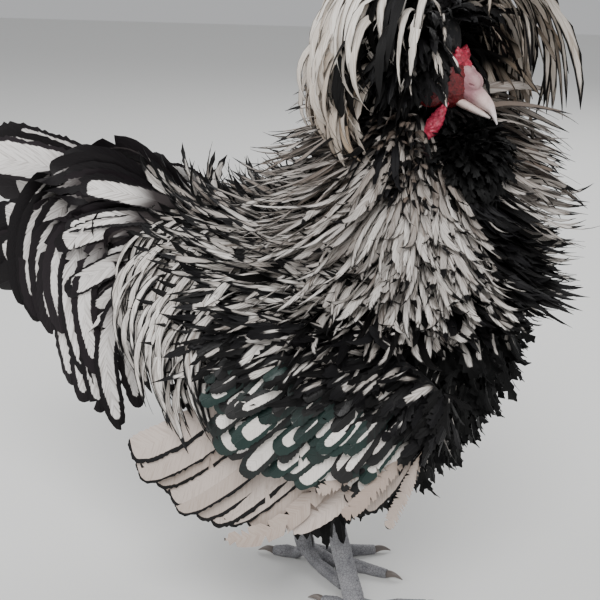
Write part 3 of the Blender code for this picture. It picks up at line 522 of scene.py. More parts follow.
bodyVane = vaneMaterial("laced frizzled feather", vaneLook)
wingVane = vaneMaterial(
    "laced wing feather, green-black sheen",
    {**vaneLook, "stainAndBarbShade": "#a09890", "gloss": "#102723", "barbCm": 0.09, "ragCm": 0.025, "lean": 1.1,
     "roundCm": 0.5, "rough": 0.3, "specular": 0.4, "downAndShadeSpan": (0.0, 0.25), "shadeLow": 0.45,
     "softCm": 0.02},
)
flightVane = vaneMaterial(
    "pale flight feather, narrow black edge",
    {**vaneLook, "pale": "#c8bcb4", "stainAndBarbShade": "#97867a", "barbCm": 0.12, "ragCm": 0.012, "lean": 1.1,
     "down": "#8d7f72", "downAndShadeSpan": (0.0, 0.35), "bump": 0.2, "shadeLow": 0.42, "softCm": 0.02},
)
tailVane = vaneMaterial(
    "laced tail feather, brown-black",
    {**vaneLook, "pale": "#e8e4e1", "dark": "#120f11", "gloss": "#1f1a1d", "barbCm": 0.24, "lean": 2.4,
     "roundCm": 0.6, "down": "#3a3535", "rough": 0.42, "specular": 0.16, "downAndShadeSpan": (0.36, 0.60),
     "shadeLow": 0.35, "softCm": 0.03},
)
crestVane = vaneMaterial(
    "laced crest feather",
    {**vaneLook, "pale": "#f3eee7", "stainAndBarbShade": "#94806a", "barbCm": 0.50, "lean": 7.0, "ragCm": 0.04,
     "shadeLow": 0.35},
)
fillVane = vaneMaterial(
    "black crest feather, pale wisps at its end",
    {**vaneLook, "stainAndBarbShade": "#94806a", "barbCm": 0.50, "lean": 7.0, "ragCm": 0.10, "down": "#0b0a0a",
     "downAndShadeSpan": (0.46, 0.66)},
)
blackVane = vaneMaterial(
    "black fluffed feather",
    {**vaneLook, "dark": "#070707", "gloss": "#0c0c0c", "ragCm": 0.05, "specular": 0.15},
)

# low is the colour of the hollows between warts, darkened as painted shade; high is that of the wart tops,
# lightened as a painted highlight
fleshLooks = {
    "face": {"low": "#30070a", "high": "#741a20", "grainMm": 1.1, "rough": 0.5, "bump": 0.6},
    "comb": {"low": "#6e1020", "high": "#c03a52", "grainMm": 1.4, "rough": 0.42, "bump": 0.8},
    "wattle": {"low": "#94182e", "high": "#dc4a68", "grainMm": 1.6, "rough": 0.4, "bump": 0.8},
}


def fleshMaterial(name, look):
    # Live bare skin: fine warts and a soft gloss, with a painted highlight on each wart's top and painted
    # shade in the hollows.
    made, tree, shader = newMaterial(name, look["high"], look["rough"])
    here = add(tree, "ShaderNodeTexCoord")["Object"]
    wart = add(tree, cellNode, {"Vector": here, "Scale": 1000 / look["grainMm"]}, feature="SMOOTH_F1")
    patch = add(tree, noiseNode, {"Vector": here, "Scale": 190.0, "Detail": 3.0})[0]
    lift = add(tree, rangeNode, {0: wart["Distance"], 1: 0.1, 2: 0.75, 3: 1.0, 4: 0.0})[0]
    # painted light: lit wart tops go to the high colour, shaded hollows to the low one, mixed with a random
    # mottle
    wartShadeAndMottle = add(tree, mathNode, {0: lift, 1: 0.6, 2: patch}, **timesPlus)[0]
    wartShadeAndMottle = add(tree, rangeNode, {0: wartShadeAndMottle, 1: 0.35, 2: 1.1})[0]
    colour = add(tree, mixNode, {0: wartShadeAndMottle, 6: linear(look["low"]), 7: linear(look["high"])}, **ofColour)[2]
    bump = add(tree, "ShaderNodeBump", {"Strength": look["bump"], "Distance": 0.0004, "Height": lift})[0]
    feed(tree, shader, {
        "Base Color": colour, "Normal": bump, "Subsurface Weight": 0.15,
        "Subsurface Radius": (0.0016, 0.0005, 0.0003), "Subsurface Scale": 1.0,
    })
    return made


hornLooks = {
    "upper": {"root": "#9c6c74", "mid": "#dcc2be", "tip": "#f4ecec", "reachMm": (12, 20, 31), "rough": 0.36},
    "lower": {"root": "#c49c92", "mid": "#dcc8c0", "tip": "#efe6e4", "reachMm": (4, 14, 28), "rough": 0.4},
}


def hornMaterial(name, look):
    # Bill horn: grey-pink and wrinkled by the nostrils, then smooth and paler to a white hook.
    made, tree, shader = newMaterial(name, look["mid"], look["rough"])
    here = add(tree, "ShaderNodeTexCoord")["Object"]
    root = Vector(origin + onHead(headForm["billRoot"] - 0.002, 0, 0))
    way = add(tree, "ShaderNodeVectorMath", {0: here, 1: root}, operation="DISTANCE")["Value"]
    near, middle, far = (reach / 1000 for reach in look["reachMm"])
    first = add(tree, rangeNode, {0: way, 1: near, 2: middle}, **eased)[0]
    second = add(tree, rangeNode, {0: way, 1: middle, 2: far}, **eased)[0]
    colour = add(tree, mixNode, {0: first, 6: linear(look["root"]), 7: linear(look["mid"])}, **ofColour)[2]
    colour = add(tree, mixNode, {0: second, 6: colour, 7: linear(look["tip"])}, **ofColour)[2]
    stain = add(tree, noiseNode, {"Vector": here, "Scale": 420.0, "Detail": 4.0, "Distortion": 1.2})[0]
    stain = add(tree, rangeNode, {0: stain, 1: 0.35, 2: 0.75, 3: 0.0, 4: 0.35})[0]
    colour = add(tree, mixNode, {0: stain, 6: colour, 7: linear("#8d6f68")}, **ofColour)[2]
    wrinkle = add(tree, noiseNode, {"Vector": here, "Scale": 560.0, "Detail": 3.0, "Distortion": 2.0})[0]
    fade = add(tree, rangeNode, {0: first, 3: 1.0, 4: 0.15})[0]
    height = add(tree, mathNode, {0: wrinkle, 1: fade}, **times)[0]
    bump = add(tree, "ShaderNodeBump", {"Strength": 0.9, "Distance": 0.0008, "Height": height})[0]
    feed(tree, shader, {"Base Color": colour, "Normal": bump})
    return made


def slateMaterial():
    # Dry slate-grey scale, darker in the seams and mottled with a dusty bloom
    made, tree, shader = newMaterial("slate shank scale", "#86868b", 0.55)
    here = add(tree, "ShaderNodeTexCoord")["Object"]
    patch = add(tree, noiseNode, {"Vector": here, "Scale": 130.0, "Detail": 4.0})[0]
    net = add(tree, cellNode, {"Vector": here, "Scale": 480.0}, feature="DISTANCE_TO_EDGE")["Distance"]
    seam = add(tree, rangeNode, {0: net, 1: 0.0, 2: 0.09})[0]
    colour = add(tree, mixNode, {0: patch, 6: linear("#5f6066"), 7: linear("#a2a1a3")}, **ofColour)[2]
    colour = add(tree, mixNode, {0: seam, 6: linear("#56565c"), 7: colour}, **ofColour)[2]
    bump = add(tree, "ShaderNodeBump", {"Strength": 0.4, "Distance": 0.0003, "Height": seam})[0]
    feed(tree, shader, {"Base Color": colour, "Normal": bump})
    return made


def eyeMaterial():
    # Wet eye: black pupil, brown iris with rays, dark rim. The corneal gloss is a full clear coat.
    made, tree, shader = newMaterial("wet eye", "#3a1a0c", 0.08)
    gaze = add(tree, "ShaderNodeAttribute", attribute_name="gaze")["Fac"]
    here = add(tree, "ShaderNodeTexCoord")["Object"]
    ray = add(tree, noiseNode, {"Vector": here, "Scale": 1400.0, "Detail": 2.0})[0]
    iris = add(tree, mixNode, {0: ray, 6: linear("#7c3a12"), 7: linear("#b8661f")}, **ofColour)[2]
    pupil = add(tree, rangeNode, {0: gaze, 1: 22.0, 2: 24.0}, **eased)[0]
    rim = add(tree, rangeNode, {0: gaze, 1: 40.0, 2: 46.0}, **eased)[0]
    colour = add(tree, mixNode, {0: pupil, 6: linear("#050505"), 7: iris}, **ofColour)[2]
    colour = add(tree, mixNode, {0: rim, 6: colour, 7: linear("#1a0d0a")}, **ofColour)[2]
    feed(tree, shader, {"Base Color": colour, "Coat Weight": 1.0, "Coat Roughness": 0.02})
    return made


def downAndGapShadeMaterial():
    # Matt down under the coat, black with greyer flecks where pale feathers part. It is made near black
    # partly as painted shade, so the gaps between feathers read as shadow.
    made, tree, shader = newMaterial("dark down and gap shade", "#141315", 0.95)
    here = add(tree, "ShaderNodeTexCoord")["Object"]
    fleck = add(tree, noiseNode, {"Vector": here, "Scale": 260.0, "Detail": 5.0})[0]
    fleck = add(tree, rangeNode, {0: fleck, 1: 0.5, 2: 0.8}, **eased)[0]
    colour = add(tree, mixNode, {0: fleck, 6: linear("#0d0d0f"), 7: linear("#3c3835")}, **ofColour)[2]
    bump = add(tree, "ShaderNodeBump", {"Strength": 0.8, "Distance": 0.001, "Height": fleck})[0]
    feed(tree, shader, {"Base Color": colour, "Normal": bump})
    return made


print("materials made")


def unwrapped(places, form):
    # a root's place on the unwrap of its own stretch of skin
    low, high = form["tSpan"]
    first, last = (math.radians(angle) for angle in form["angleSpan"])
    return np.stack([(places["angle"] - first) / (last - first), (places["t"] - low) / (high - low)], axis=-1)


def halfOf(bake, k):
    # the first or second half of the unwrap
    return bake * np.array([0.48, 1]) + np.array([0.52 * k, 0])


def grown(spot, form, lie, half=None):
    # a whole tract, from the roots scattered over a surface to the feathers that lie along it
    places = scatter(spot, form)
    bake = unwrapped(places, form)
    return tractOf(form, places, lie, bake if half is None else halfOf(bake, half))


# The torso's coat: black and curled on the breast, streaked on the back, loose under the belly.
frizz = {
    "breast": {
        "tSpan": (0.60, 0.995), "angleSpan": (24, 336), "spacing": 0.0064, "lie": (-0.5, 0, -0.85),
        "length": (0.024, 0.039), "width": (0.008, 0.013), "shape": "fluff", "stray": 0.22,
        "split": (0.25, 0.5), "curl": ((0.7, 0.8, 0), (0.3, 1.0, 0), (0.5, 0.9, 0), (0.8, 0.5, 0.2)),
        "twist": (-0.9, 0.9), "lace": (0.0034, 0.0075), "tip": (0.006, 0.016), "stain": (0.0, 0.4),
        "notch": (0.3, 0.6),
    },
    "belly": {
        "tSpan": (0.04, 0.66), "angleSpan": (88, 272), "spacing": 0.0086, "lie": (-0.4, 0, -0.9),
        "length": (0.030, 0.046), "width": (0.011, 0.016), "shape": "fluff", "stray": 0.22,
        "split": (0.3, 0.55), "curl": ((0.6, 0.9, 0), (0.4, 1.0, 0), (0.7, 0.8, 0), (0.8, 0.5, 0)),
        "twist": (-1.0, 1.0), "lace": (0.0065, 0.010), "tip": (0.010, 0.020), "stain": (0.2, 0.5),
        "notch": (0.3, 0.6),
    },
    "mantle": {
        "tSpan": (0.40, 0.80), "angleSpan": (-88, 88), "spacing": 0.0060, "lie": (-1, 0, -0.12),
        "length": (0.052, 0.076), "width": (0.0065, 0.0095), "shape": "lancet", "stray": 0.14,
        "split": (0.0, 0.08), "curl": ((0.8, 0.8, 0), (0.35, 1.0, 0), (0.25, 1.0, 0), (0.35, 0.9, 0)),
        "twist": (-0.8, 0.8), "lace": (0.0004, 0.0016), "tip": (0.002, 0.014), "stain": (0.0, 0.5),
        "notch": (0.08, 0.2), "darkFrom": 50,
    },
    "back": {
        "tSpan": (0.12, 0.44), "angleSpan": (-86, 86), "spacing": 0.0058, "lie": (-1, 0, -0.15),
        "length": (0.036, 0.056), "width": (0.005, 0.008), "shape": "lancet", "stray": 0.20,
        "split": (0.05, 0.25), "curl": ((0.8, 0.8, 0), (0.35, 1.0, 0), (0.45, 0.9, 0), (0.9, 0.5, 0.2)),
        "twist": (-0.8, 0.8), "lace": (0.0008, 0.0024), "tip": (0.004, 0.018), "stain": (0.0, 0.6),
        "notch": (0.2, 0.4), "darkFrom": 44,
    },
}


def torsoCoat(name):
    form = frizz[name]
    places = scatter(torsoSpot, form)
    tract = tractOf(form, places, np.array(form["lie"]), unwrapped(places, form))
    if "darkFrom" in form:
        # the flank, under the saddle and the cape, is black with a few pale feathers
        aside = np.degrees(np.abs(places["angle"]))
        flank = (aside - form["darkFrom"]) / 20
        tract["mark"][:, 0] += (rng.random(len(flank)) < np.clip(flank, 0, 0.85)) * 0.3
        tract["mark"][:, 2] += np.clip(1 - aside / 45, 0, 1) * 0.5
    return [tract]


# Long narrow hackles of the rump, which rise and then hang over the flanks and the wing tips.
saddleForm = {
    "tSpan": (0.05, 0.44), "angleSpan": (18, 86), "spacing": 0.0058, "length": (0.070, 0.104),
    "width": (0.006, 0.0095), "shape": "hackle", "stray": 0.10, "split": (0.0, 0.08),
    "lace": (0.0008, 0.0020), "tip": (0.002, 0.012), "stain": (0.0, 0.3), "notch": (0.1, 0.25),
    "twist": (-0.5, 0.5), "roll": 0.3,
    "arc": ((0.9, 0.6, 0.6), (0.9, -0.15, 0.75), (0.45, -0.8, 0.55), (0.10, -1, 0.12), (0.04, -1, -0.35),
            (0.14, -0.8, -0.75)),
}


def saddleCoat():
    tracts = []
    for k, sign in enumerate(sides.values()):
        places = scatter(torsoSpot, saddleForm)
        out = leftward * sign
        arc = np.array(saddleForm["arc"])
        ways = out * arc[:, 0:1] + up * arc[:, 1:2] - ahead * arc[:, 2:3]
        ways = np.repeat(ways[None], len(places["t"]), axis=0)
        across = -sign * (ahead + out * 0.3)
        root = torsoSpot(places["t"], places["angle"] * sign)
        tracts.append(dress(saddleForm, root, ways, across, halfOf(unwrapped(places, saddleForm), k)))
    return tracts


# The crest parts over the comb, the knob and the cheeks, wider on the right: points with their clear room.
partings = (
    (0.021, 0, 0.020, 0.0150), (0.012, 0, 0.022, 0.0145), (0.028, 0, 0.006, 0.0120),
    (0.020, 0.011, -0.007, 0.0075), (0.015, 0.017, -0.024, 0.0075),
)
partingForm = {"ceiling": 0.016, "way": (0.22, 0.89, 0.40), "reach": 0.08, "leftShare": 0.4}


def parted(tract):
    # leaves out feathers that would hang before the comb, the knob, a cheek or a wattle, or stand too tall
    steps = unit(tract["ways"][:, 1:] + tract["ways"][:, :-1])
    steps = np.repeat(steps, 3, axis=1) * tract["length"][:, None, None] / (steps.shape[1] * 3)
    path = tract["root"][:, None] + np.cumsum(steps, axis=1)
    kept = path[..., 2].max(axis=1) < cadBox[1][2] + partingForm["ceiling"]
    for forward, left, above, room in partings:
        for sign in sides.values():
            start = headSpot(forward, left * sign, above)
            way = headTurn @ unit(mirrored(partingForm["way"], sign))
            share = np.clip((path - start) @ way, 0, partingForm["reach"])[..., None]
            apart = np.linalg.norm(path - start - way * share, axis=-1).min(axis=1)
            kept &= apart > room * (1 if sign < 0 else partingForm["leftShare"])
    return only(tract, kept)


# The cape: lancet hackles all round the neck, that stand out like a ruff and droop at their tips.
capeForm = {
    "tSpan": (0.04, 0.985), "angleSpan": (0, 360), "spacing": 0.0038, "length": (0.056, 0.090),
    "width": (0.0060, 0.0094), "shape": "lancet", "stray": 0.095, "split": (0.0, 0.08),
    "lace": (0.0002, 0.0011), "tip": (0.001, 0.012), "stain": (0.05, 0.55), "notch": (0.10, 0.25),
    "twist": (-0.8, 0.8), "roll": 0.3, "bend": 0.32,
}
collarForm = {
    **capeForm, "tSpan": (0.02, 0.42), "spacing": 0.0026, "length": (0.044, 0.066), "width": (0.0040, 0.0062),
    "stray": 0.14, "stain": (0.2, 0.9),
}


def collarCoat():
    # a looser layer above the cape, which closes the gap under the crest: black by the cheeks, else brown
    places = scatter(neckSpot, collarForm)
    out = flatWay(places["angle"])
    kept = out @ bearing(-18.0) < 0.70
    kept &= rng.random(len(out)) < 0.6 + 0.6 * np.maximum(out[:, 1], 0)
    places = only(places, kept)
    out, count = out[kept], kept.sum()
    near, far = toward(out, -48.0, 3), toward(out, 52.0, 2, 0.8)
    lift = rng.uniform(0.1, 0.5, (count, 1)) * (1 - 0.6 * near[:, None]) - 0.38 * far[:, None]
    lifts = (0.7, lift + 0.1, lift - 0.3, -0.7)
    ways = np.stack([out + up * rise for rise in lifts], axis=1)
    tract = dress(collarForm, places["root"], ways, np.cross(up, out), unwrapped(places, collarForm))
    tract["length"] *= 1 - 0.48 * near + 0.54 * far
    tract["width"] *= 1 + 0.7 * far
    tract["mark"][:, 0] += (rng.random(count) < near * np.interp(places["t"], (0.04, 0.16), (0.9, 0.1))) * 0.5
    tract["mark"][:, 2] += 0.4 * near
    return parted(tract)


def capeCoat(lower):
    places = scatter(neckSpot, capeForm)
    places = only(places, (places["t"] > 0.62) == lower)
    t, count = places["t"], len(places["t"])
    out = flatWay(places["angle"])
    hind = np.clip(0.2 - out[:, 0] * 1.3, 0, 1)
    fall = np.interp(t, (0, 0.3, 0.7, 1), (1.7, 1.15, 0.62, 0.40)) * (1 - 0.82 * hind)
    far = toward(out, 66.0, 1.6, 0.5) * np.clip(1.5 - 1.6 * t, 0, 1)
    fall = (fall * (1 - 0.64 * far) - 0.3 * far * np.clip(1 - t / 0.4, 0, 1))[:, None]
    droop = rng.uniform(-0.45, 0.45, (count, 1))
    ways = np.stack([
        out + up * np.clip(0.6 - fall, -0.5, 0.8),
        out - up * (fall * 0.9 + 0.10),
        out - up * (fall * 0.9 + 0.10),
        out - up * droop,
    ], axis=1)
    aside = np.cross(up, out)[:, None] * np.array([0, 0.1, 0.5, 1.6])[None, :, None]
    ways += aside * rng.normal(0, capeForm["bend"], (count, 1, 1))
    tract = dress(capeForm, places["root"], ways, np.cross(up, out), unwrapped(places, capeForm))
    tract["length"] *= np.interp(t, (0, 0.4, 1), (0.78, 0.98, 1.0)) * (1 - 0.44 * toward(out, -16.0) ** 2)
    tract["length"] *= 1 + 0.34 * far + 0.14 * hind
    tract["width"] *= np.interp(t, (0, 0.5, 1), (0.6, 0.85, 1.0)) * (1 + 0.4 * far)
    tract["mark"][:, 0] *= np.interp(t, (0, 0.6, 1), (0.6, 0.8, 1.15))
    tract["mark"][:, 2] += np.clip(0.55 - t, 0, 0.4)
    # black down the throat, and some black all round the lower edge
    throat = (out * bearing(-16.0 + 28.0 * t)).sum(axis=1)
    front = np.clip((throat - 0.91 + 0.05 * t) / 0.06, 0, 0.95)
    rim = np.clip((t - 0.80) / 0.2, 0, 0.5)
    nape = np.clip((0.14 - t) / 0.1, 0, 0.5) * (out @ bearing(-50.0) > 0.1)
    tract["mark"][:, 0] += (rng.random(count) < np.maximum.reduce([front, rim, nape])) * 0.5
    return [tract]


# The crest: a mop that rises from the knob on the skull and falls to all sides, shorter over the bill.
crestSpot = ballSpot(onHead(*headForm["crestAt"]), headForm["crestHalf"], headTurn)
crestForm = {
    "tSpan": (0.01, 0.78), "angleSpan": (0, 360), "spacing": 0.0021, "length": (0.084, 0.112),
    "width": (0.0046, 0.0074), "shape": "hackle", "stray": 0.09, "split": (0.0, 0.08),
    "lace": (0.0002, 0.0009), "tip": (0.001, 0.006), "stain": (0.0, 0.25), "notch": (0.08, 0.2),
    "twist": (-0.6, 0.6), "roll": 0.3, "darkFacing": -46, "bangs": 0.10,
}
fillForm = {
    "tSpan": (0.13, 0.86), "angleSpan": (0, 360), "spacing": 0.0022, "length": (0.030, 0.052),
    "width": (0.005, 0.008), "shape": "fluff", "stray": 0.30, "split": (0.1, 0.4), "lace": 0.009,
    "tip": 0.006, "stain": (0.0, 0.4), "notch": (0.3, 0.6), "twist": (-1.0, 1.0),
    "curl": ((1.0, 0.1, 0.1), (1.0, 0.3, 0), (0.9, 0.5, -0.1), (0.6, 0.7, -0.3), (0.3, 0.6, -0.7)),
    "flecks": 0.22,
}


def crestCoat():
    places = scatter(crestSpot, crestForm)
    out = flatWay(places["angle"])
    facing = out @ bearing(crestForm["darkFacing"])
    near = np.clip((facing - 0.22) / 0.25, 0, 1)
    # the cheeks and the brow get no long feathers, apart from a few white ones beside the cheek
    bangs = (near > 0.5) & (places["t"] < 0.34) & (out @ bearing(-112.0) > 0.8)
    bangs &= rng.random(len(near)) < crestForm["bangs"]
    kept = np.cos(places["angle"]) < np.cos(np.pi * places["t"]) + 0.10
    kept &= (rng.random(len(near)) > near * 0.97) | bangs
    places = only(places, kept)
    t, out, near, bangs = places["t"], out[kept], near[kept], bangs[kept]
    count = len(t)
    rise = (np.pi / 2 - np.pi * t)[:, None]
    far = toward(out, 56.0, 1.3, 0.1)[:, None]
    hind = toward(out, 190.0, 1.4)[:, None]
    curl = rng.uniform(0.1, 0.7, (count, 1))
    ways = np.stack([
        out * np.cos(rise) + up * (np.sin(rise) + 0.35),
        out * (1 - 0.34 * hind) + up * 0.55 * np.sin(rise),
        out * (0.80 - 0.40 * hind - 0.32 * far) - up * 0.65,
        out * (0.25 - 0.40 * hind - 0.12 * far) - up,
        -out * (curl + 0.55 * hind) * (1 - 0.8 * far) - up * (1 - 0.4 * hind),
    ], axis=1)
    tract = dress(crestForm, places["root"], ways, np.cross(up, out), unwrapped(places, crestForm))
    tract["length"] *= np.interp(t, (0, 0.3, 0.5, 0.78), (0.92, 1.04, 0.98, 0.74)) * (1 - 0.2 * bangs)
    tract["length"] *= 1 + 0.34 * far[:, 0] * (t > 0.22)
    tract["width"] *= 1 + 0.25 * hind[:, 0] + 0.35 * far[:, 0]
    # the hind and far feathers are pale, browned near the nape, and the far ones streaked with black
    tract["mark"][:, 0] += (rng.random(count) < near - bangs) * 0.5 + far[:, 0] * rng.uniform(0, 0.14, count)
    tract["mark"][:, 2] += np.clip((t - 0.35) / 0.3, 0, 1) * rng.uniform(0.3, 0.8, count) + far[:, 0] * 0.3
    return [parted(tract)]


def crestFill():
    # a dense, shorter and black layer, which shows over the cheeks; paler and longer on the far side
    places = scatter(crestSpot, fillForm)
    places = only(places, np.cos(places["angle"]) < np.cos(np.pi * places["t"]) + 0.75)
    t, out = places["t"], flatWay(places["angle"])
    tract = tractOf(fillForm, places, -up, unwrapped(places, fillForm))
    overFace = np.clip((out @ bearing(-4.0) - 0.5) / 0.25, 0, 1)
    far = toward(out, 56.0, 1.5, 0.3)
    tract["length"] *= (1 - 0.55 * overFace * (0.4 + t)) * (1 + 1.2 * far) * (1 - 0.25 * (1 - far) * t)
    tract["length"] *= np.interp(t, (0.13, 0.32), (0.5, 1))
    tract["ways"] += up * np.array([0, -0.15, -0.45, -0.8, -1.1])[None, :, None] * far[:, None, None]
    fleck = rng.random(len(out)) < fillForm["flecks"] * (1 - overFace) + 0.5 * far
    tract["mark"][fleck, 0] = rng.uniform(0.02, 0.14, fleck.sum())
    tract["mark"][fleck, 1] *= 0.4
    tract["mark"][:, 2] += 0.5 * far
    tract["width"][fleck] *= (0.65 + 0.65 * far)[fleck]
    return [parted(tract)]


# Short black feathers round the face, over the cheeks and down the throat.
muffForm = {
    "tSpan": (0.06, 0.97), "angleSpan": (28, 332), "spacing": 0.0024,
    "length": (0.012, 0.021), "width": (0.0035, 0.0055), "shape": "fluff", "stray": 0.2, "split": (0.2, 0.5),
    "lace": 0.009, "tip": 0.01, "stain": 0.2, "notch": (0.3, 0.6), "twist": (-0.6, 0.6),
    "curl": ((0.7, 0.6, 0), (0.45, 0.9, -0.3), (0.3, 0.9, -0.5)), "bareAhead": 0.0115, "fleckShare": 0.1,
    "eyeRoom": 0.0066, "gapeFrom": 0.006, "gapeSpan": (-0.0125, -0.003),
}
jawForm = {
    **muffForm, "tSpan": (0.2, 0.98), "angleSpan": (0, 360), "at": (0.014, 0, -0.021),
    "half": (0.020, 0.0105, 0.011),
}


def muffCoat():
    form = muffForm
    places = scatter(ballSpot(np.array(headForm["skull"]), headForm["skullHalf"], headTurn), form)
    off = (places["root"] - origin - np.array(headForm["skull"])) @ headTurn
    forward, above = off[:, 0], off[:, 2]
    eye = np.array([headForm["eyeAt"][0], headForm["eyeAt"][2]])
    kept = np.linalg.norm(off[:, [0, 2]] - eye, axis=1) > form["eyeRoom"]
    lowest, highest = form["gapeSpan"]
    kept &= (forward <= form["gapeFrom"]) | (above >= highest) | (above <= lowest)
    kept &= (forward < form["bareAhead"]) | (above < lowest)
    places = only(places, kept)
    lie = headTurn @ np.array([-0.8, 0, -0.6])
    face = tractOf(form, places, lie, halfOf(unwrapped(places, form), 0))
    face["mark"][:, 0] -= (rng.random(len(face["mark"])) < form["fleckShare"]) * 0.8
    spot = ballSpot(onHead(*jawForm["at"]), jawForm["half"], headTurn)
    return [face, parted(grown(spot, jawForm, headTurn @ np.array([0.2, 0, -1.0]), 1))]


beardForm = {
    "tSpan": (0.02, 0.96), "angleSpan": (-150, 150), "spacing": 0.0030,
    "length": (0.013, 0.022), "width": (0.005, 0.008), "shape": "fluff", "stray": 0.20, "split": (0.25, 0.5),
    "lace": 0.009, "tip": 0.012, "stain": 0.2, "notch": (0.3, 0.6), "twist": (-0.8, 0.8),
    "curl": ((1.0, 0.2, 0.1), (0.9, 0.5, 0), (0.5, 0.8, -0.2)),
}
crownForm = {
    **beardForm, "tSpan": (0.02, 0.42), "spacing": 0.0026, "length": (0.009, 0.014),
    "curl": ((1.0, 0, 0.6), (0.7, -0.2, 1.0), (0.4, -0.1, 0.9)),
}


def beardCoat():
    # the beard hangs, and its crown stands up and closes the gap under the bill
    spot = ballSpot(onHead(*headForm["beardAt"]), headForm["beardHalf"], headTurn)
    return [grown(spot, beardForm, -up, 0), grown(spot, crownForm, ahead, 1)]


thighForm = {
    "tSpan": (-0.1, 1.0), "angleSpan": (0, 360), "spacing": 0.0078, "length": (0.026, 0.042),
    "width": (0.009, 0.013), "shape": "fluff", "stray": 0.2, "split": (0.05, 0.2), "lace": (0.006, 0.009),
    "tip": (0.008, 0.016), "stain": (0.1, 0.4), "notch": (0.1, 0.3), "twist": (-0.8, 0.8),
    "curl": ((0.7, 0.6, -0.3), (0.4, 0.8, -0.4), (0.5, 0.7, -0.4)),
}


def thighCoat():
    return [grown(thighSpot(name), thighForm, -up, k) for k, name in enumerate(sides)]


# The folded wing: small bow feathers, tiers of laced coverts, and flights that fan down and back.
wingSizes = {"flights": 16, "flightLength": 0.100, "shingle": 0.20, "loose": (2, 4), "frayed": 6}
bowForm = {
    "tSpan": (0.04, 0.42), "angleSpan": (8, 172), "spacing": 0.0056, "lie": (-0.75, 0, -0.65),
    "length": (0.024, 0.040), "width": (0.006, 0.010), "shape": "fluff", "stray": 0.2, "split": (0.1, 0.3),
    "lace": (0.0016, 0.0052), "tip": (0.003, 0.012), "stain": (0.0, 0.5), "notch": (0.2, 0.4),
    "twist": (-0.6, 0.6), "curl": ((0.7, 0.8, 0), (0.35, 1.0, 0), (0.6, 0.8, 0)),
}
wristForm = {
    **bowForm, "tSpan": (0.34, 0.86), "angleSpan": (-50, 46), "lace": 0.009, "length": (0.018, 0.028),
}
covertForm = {
    "shape": "round", "width": (0.0135, 0.0175), "stray": 0.07, "lace": (0.0017, 0.0034),
    "tip": (0.0045, 0.0090), "stain": (0.0, 0.35), "notch": (0.04, 0.10), "split": 0.02,
    "twist": (-0.25, 0.25), "patch": 0.012, "cup": (0.15, 0.4),
}
covertTiers = (
    (15, 0.002, 0.056), (15, 0.012, 0.049), (16, 0.021, 0.042), (16, 0.030, 0.037), (16, 0.038, 0.032),
)
flightForm = {
    "shape": "quill", "width": (0.019, 0.022), "stray": 0.012, "lace": (0.0016, 0.0028), "tip": (0.0, 0.0015),
    "stain": (0.1, 0.6), "notch": (0.02, 0.05), "split": (0.0, 0.04), "twist": (-0.05, 0.05), "patch": 0.02,
    "thick": 0.0012, "lift": 0.22,
}
frayedForm = {
    **flightForm, "width": (0.008, 0.011), "stray": 0.10, "lace": -0.001, "split": (0.3, 0.5),
    "notch": (0.2, 0.4), "stain": (0.4, 1.0),
}


def armSkin(place, sign):
    # the outer face of the folded arm at a place's x and z
    form = wingForm
    pitch = math.radians(form["pitch"])
    off = place - np.array(form["mid"])
    along = off[0] * math.cos(pitch) - off[2] * math.sin(pitch)
    above = off[0] * math.sin(pitch) + off[2] * math.cos(pitch)
    share = 1 - (along / form["half"][0]) ** 2 - (above / form["half"][2]) ** 2
    y = form["mid"][1] - math.tan(math.radians(form["yaw"])) * off[0]
    y += form["half"][1] * math.sqrt(max(share, 0))
    return origin + np.array([place[0], sign * y, place[2]])


def bowCoat(name):
    # the bow, and a shorter black tract over the wrist
    sign = sides[name]
    turn = turned(-wingForm["yaw"] * sign, wingForm["pitch"])
    spot = ballSpot(mirrored(wingForm["mid"], sign), wingForm["half"], turn)
    tracts = []
    for form, bakeSize, bakeAt in ((bowForm, (1, 0.5), (0, 0)), (wristForm, (0.5, 0.08), (0, 0.51))):
        places = scatter(spot, form)
        places["root"], places["normal"], _ = surfaceFrame(spot, places["t"], places["angle"] * sign)
        bake = unwrapped(places, form) * bakeSize + bakeAt
        tracts.append(tractOf(form, places, np.array(form["lie"]), bake))
    return tracts


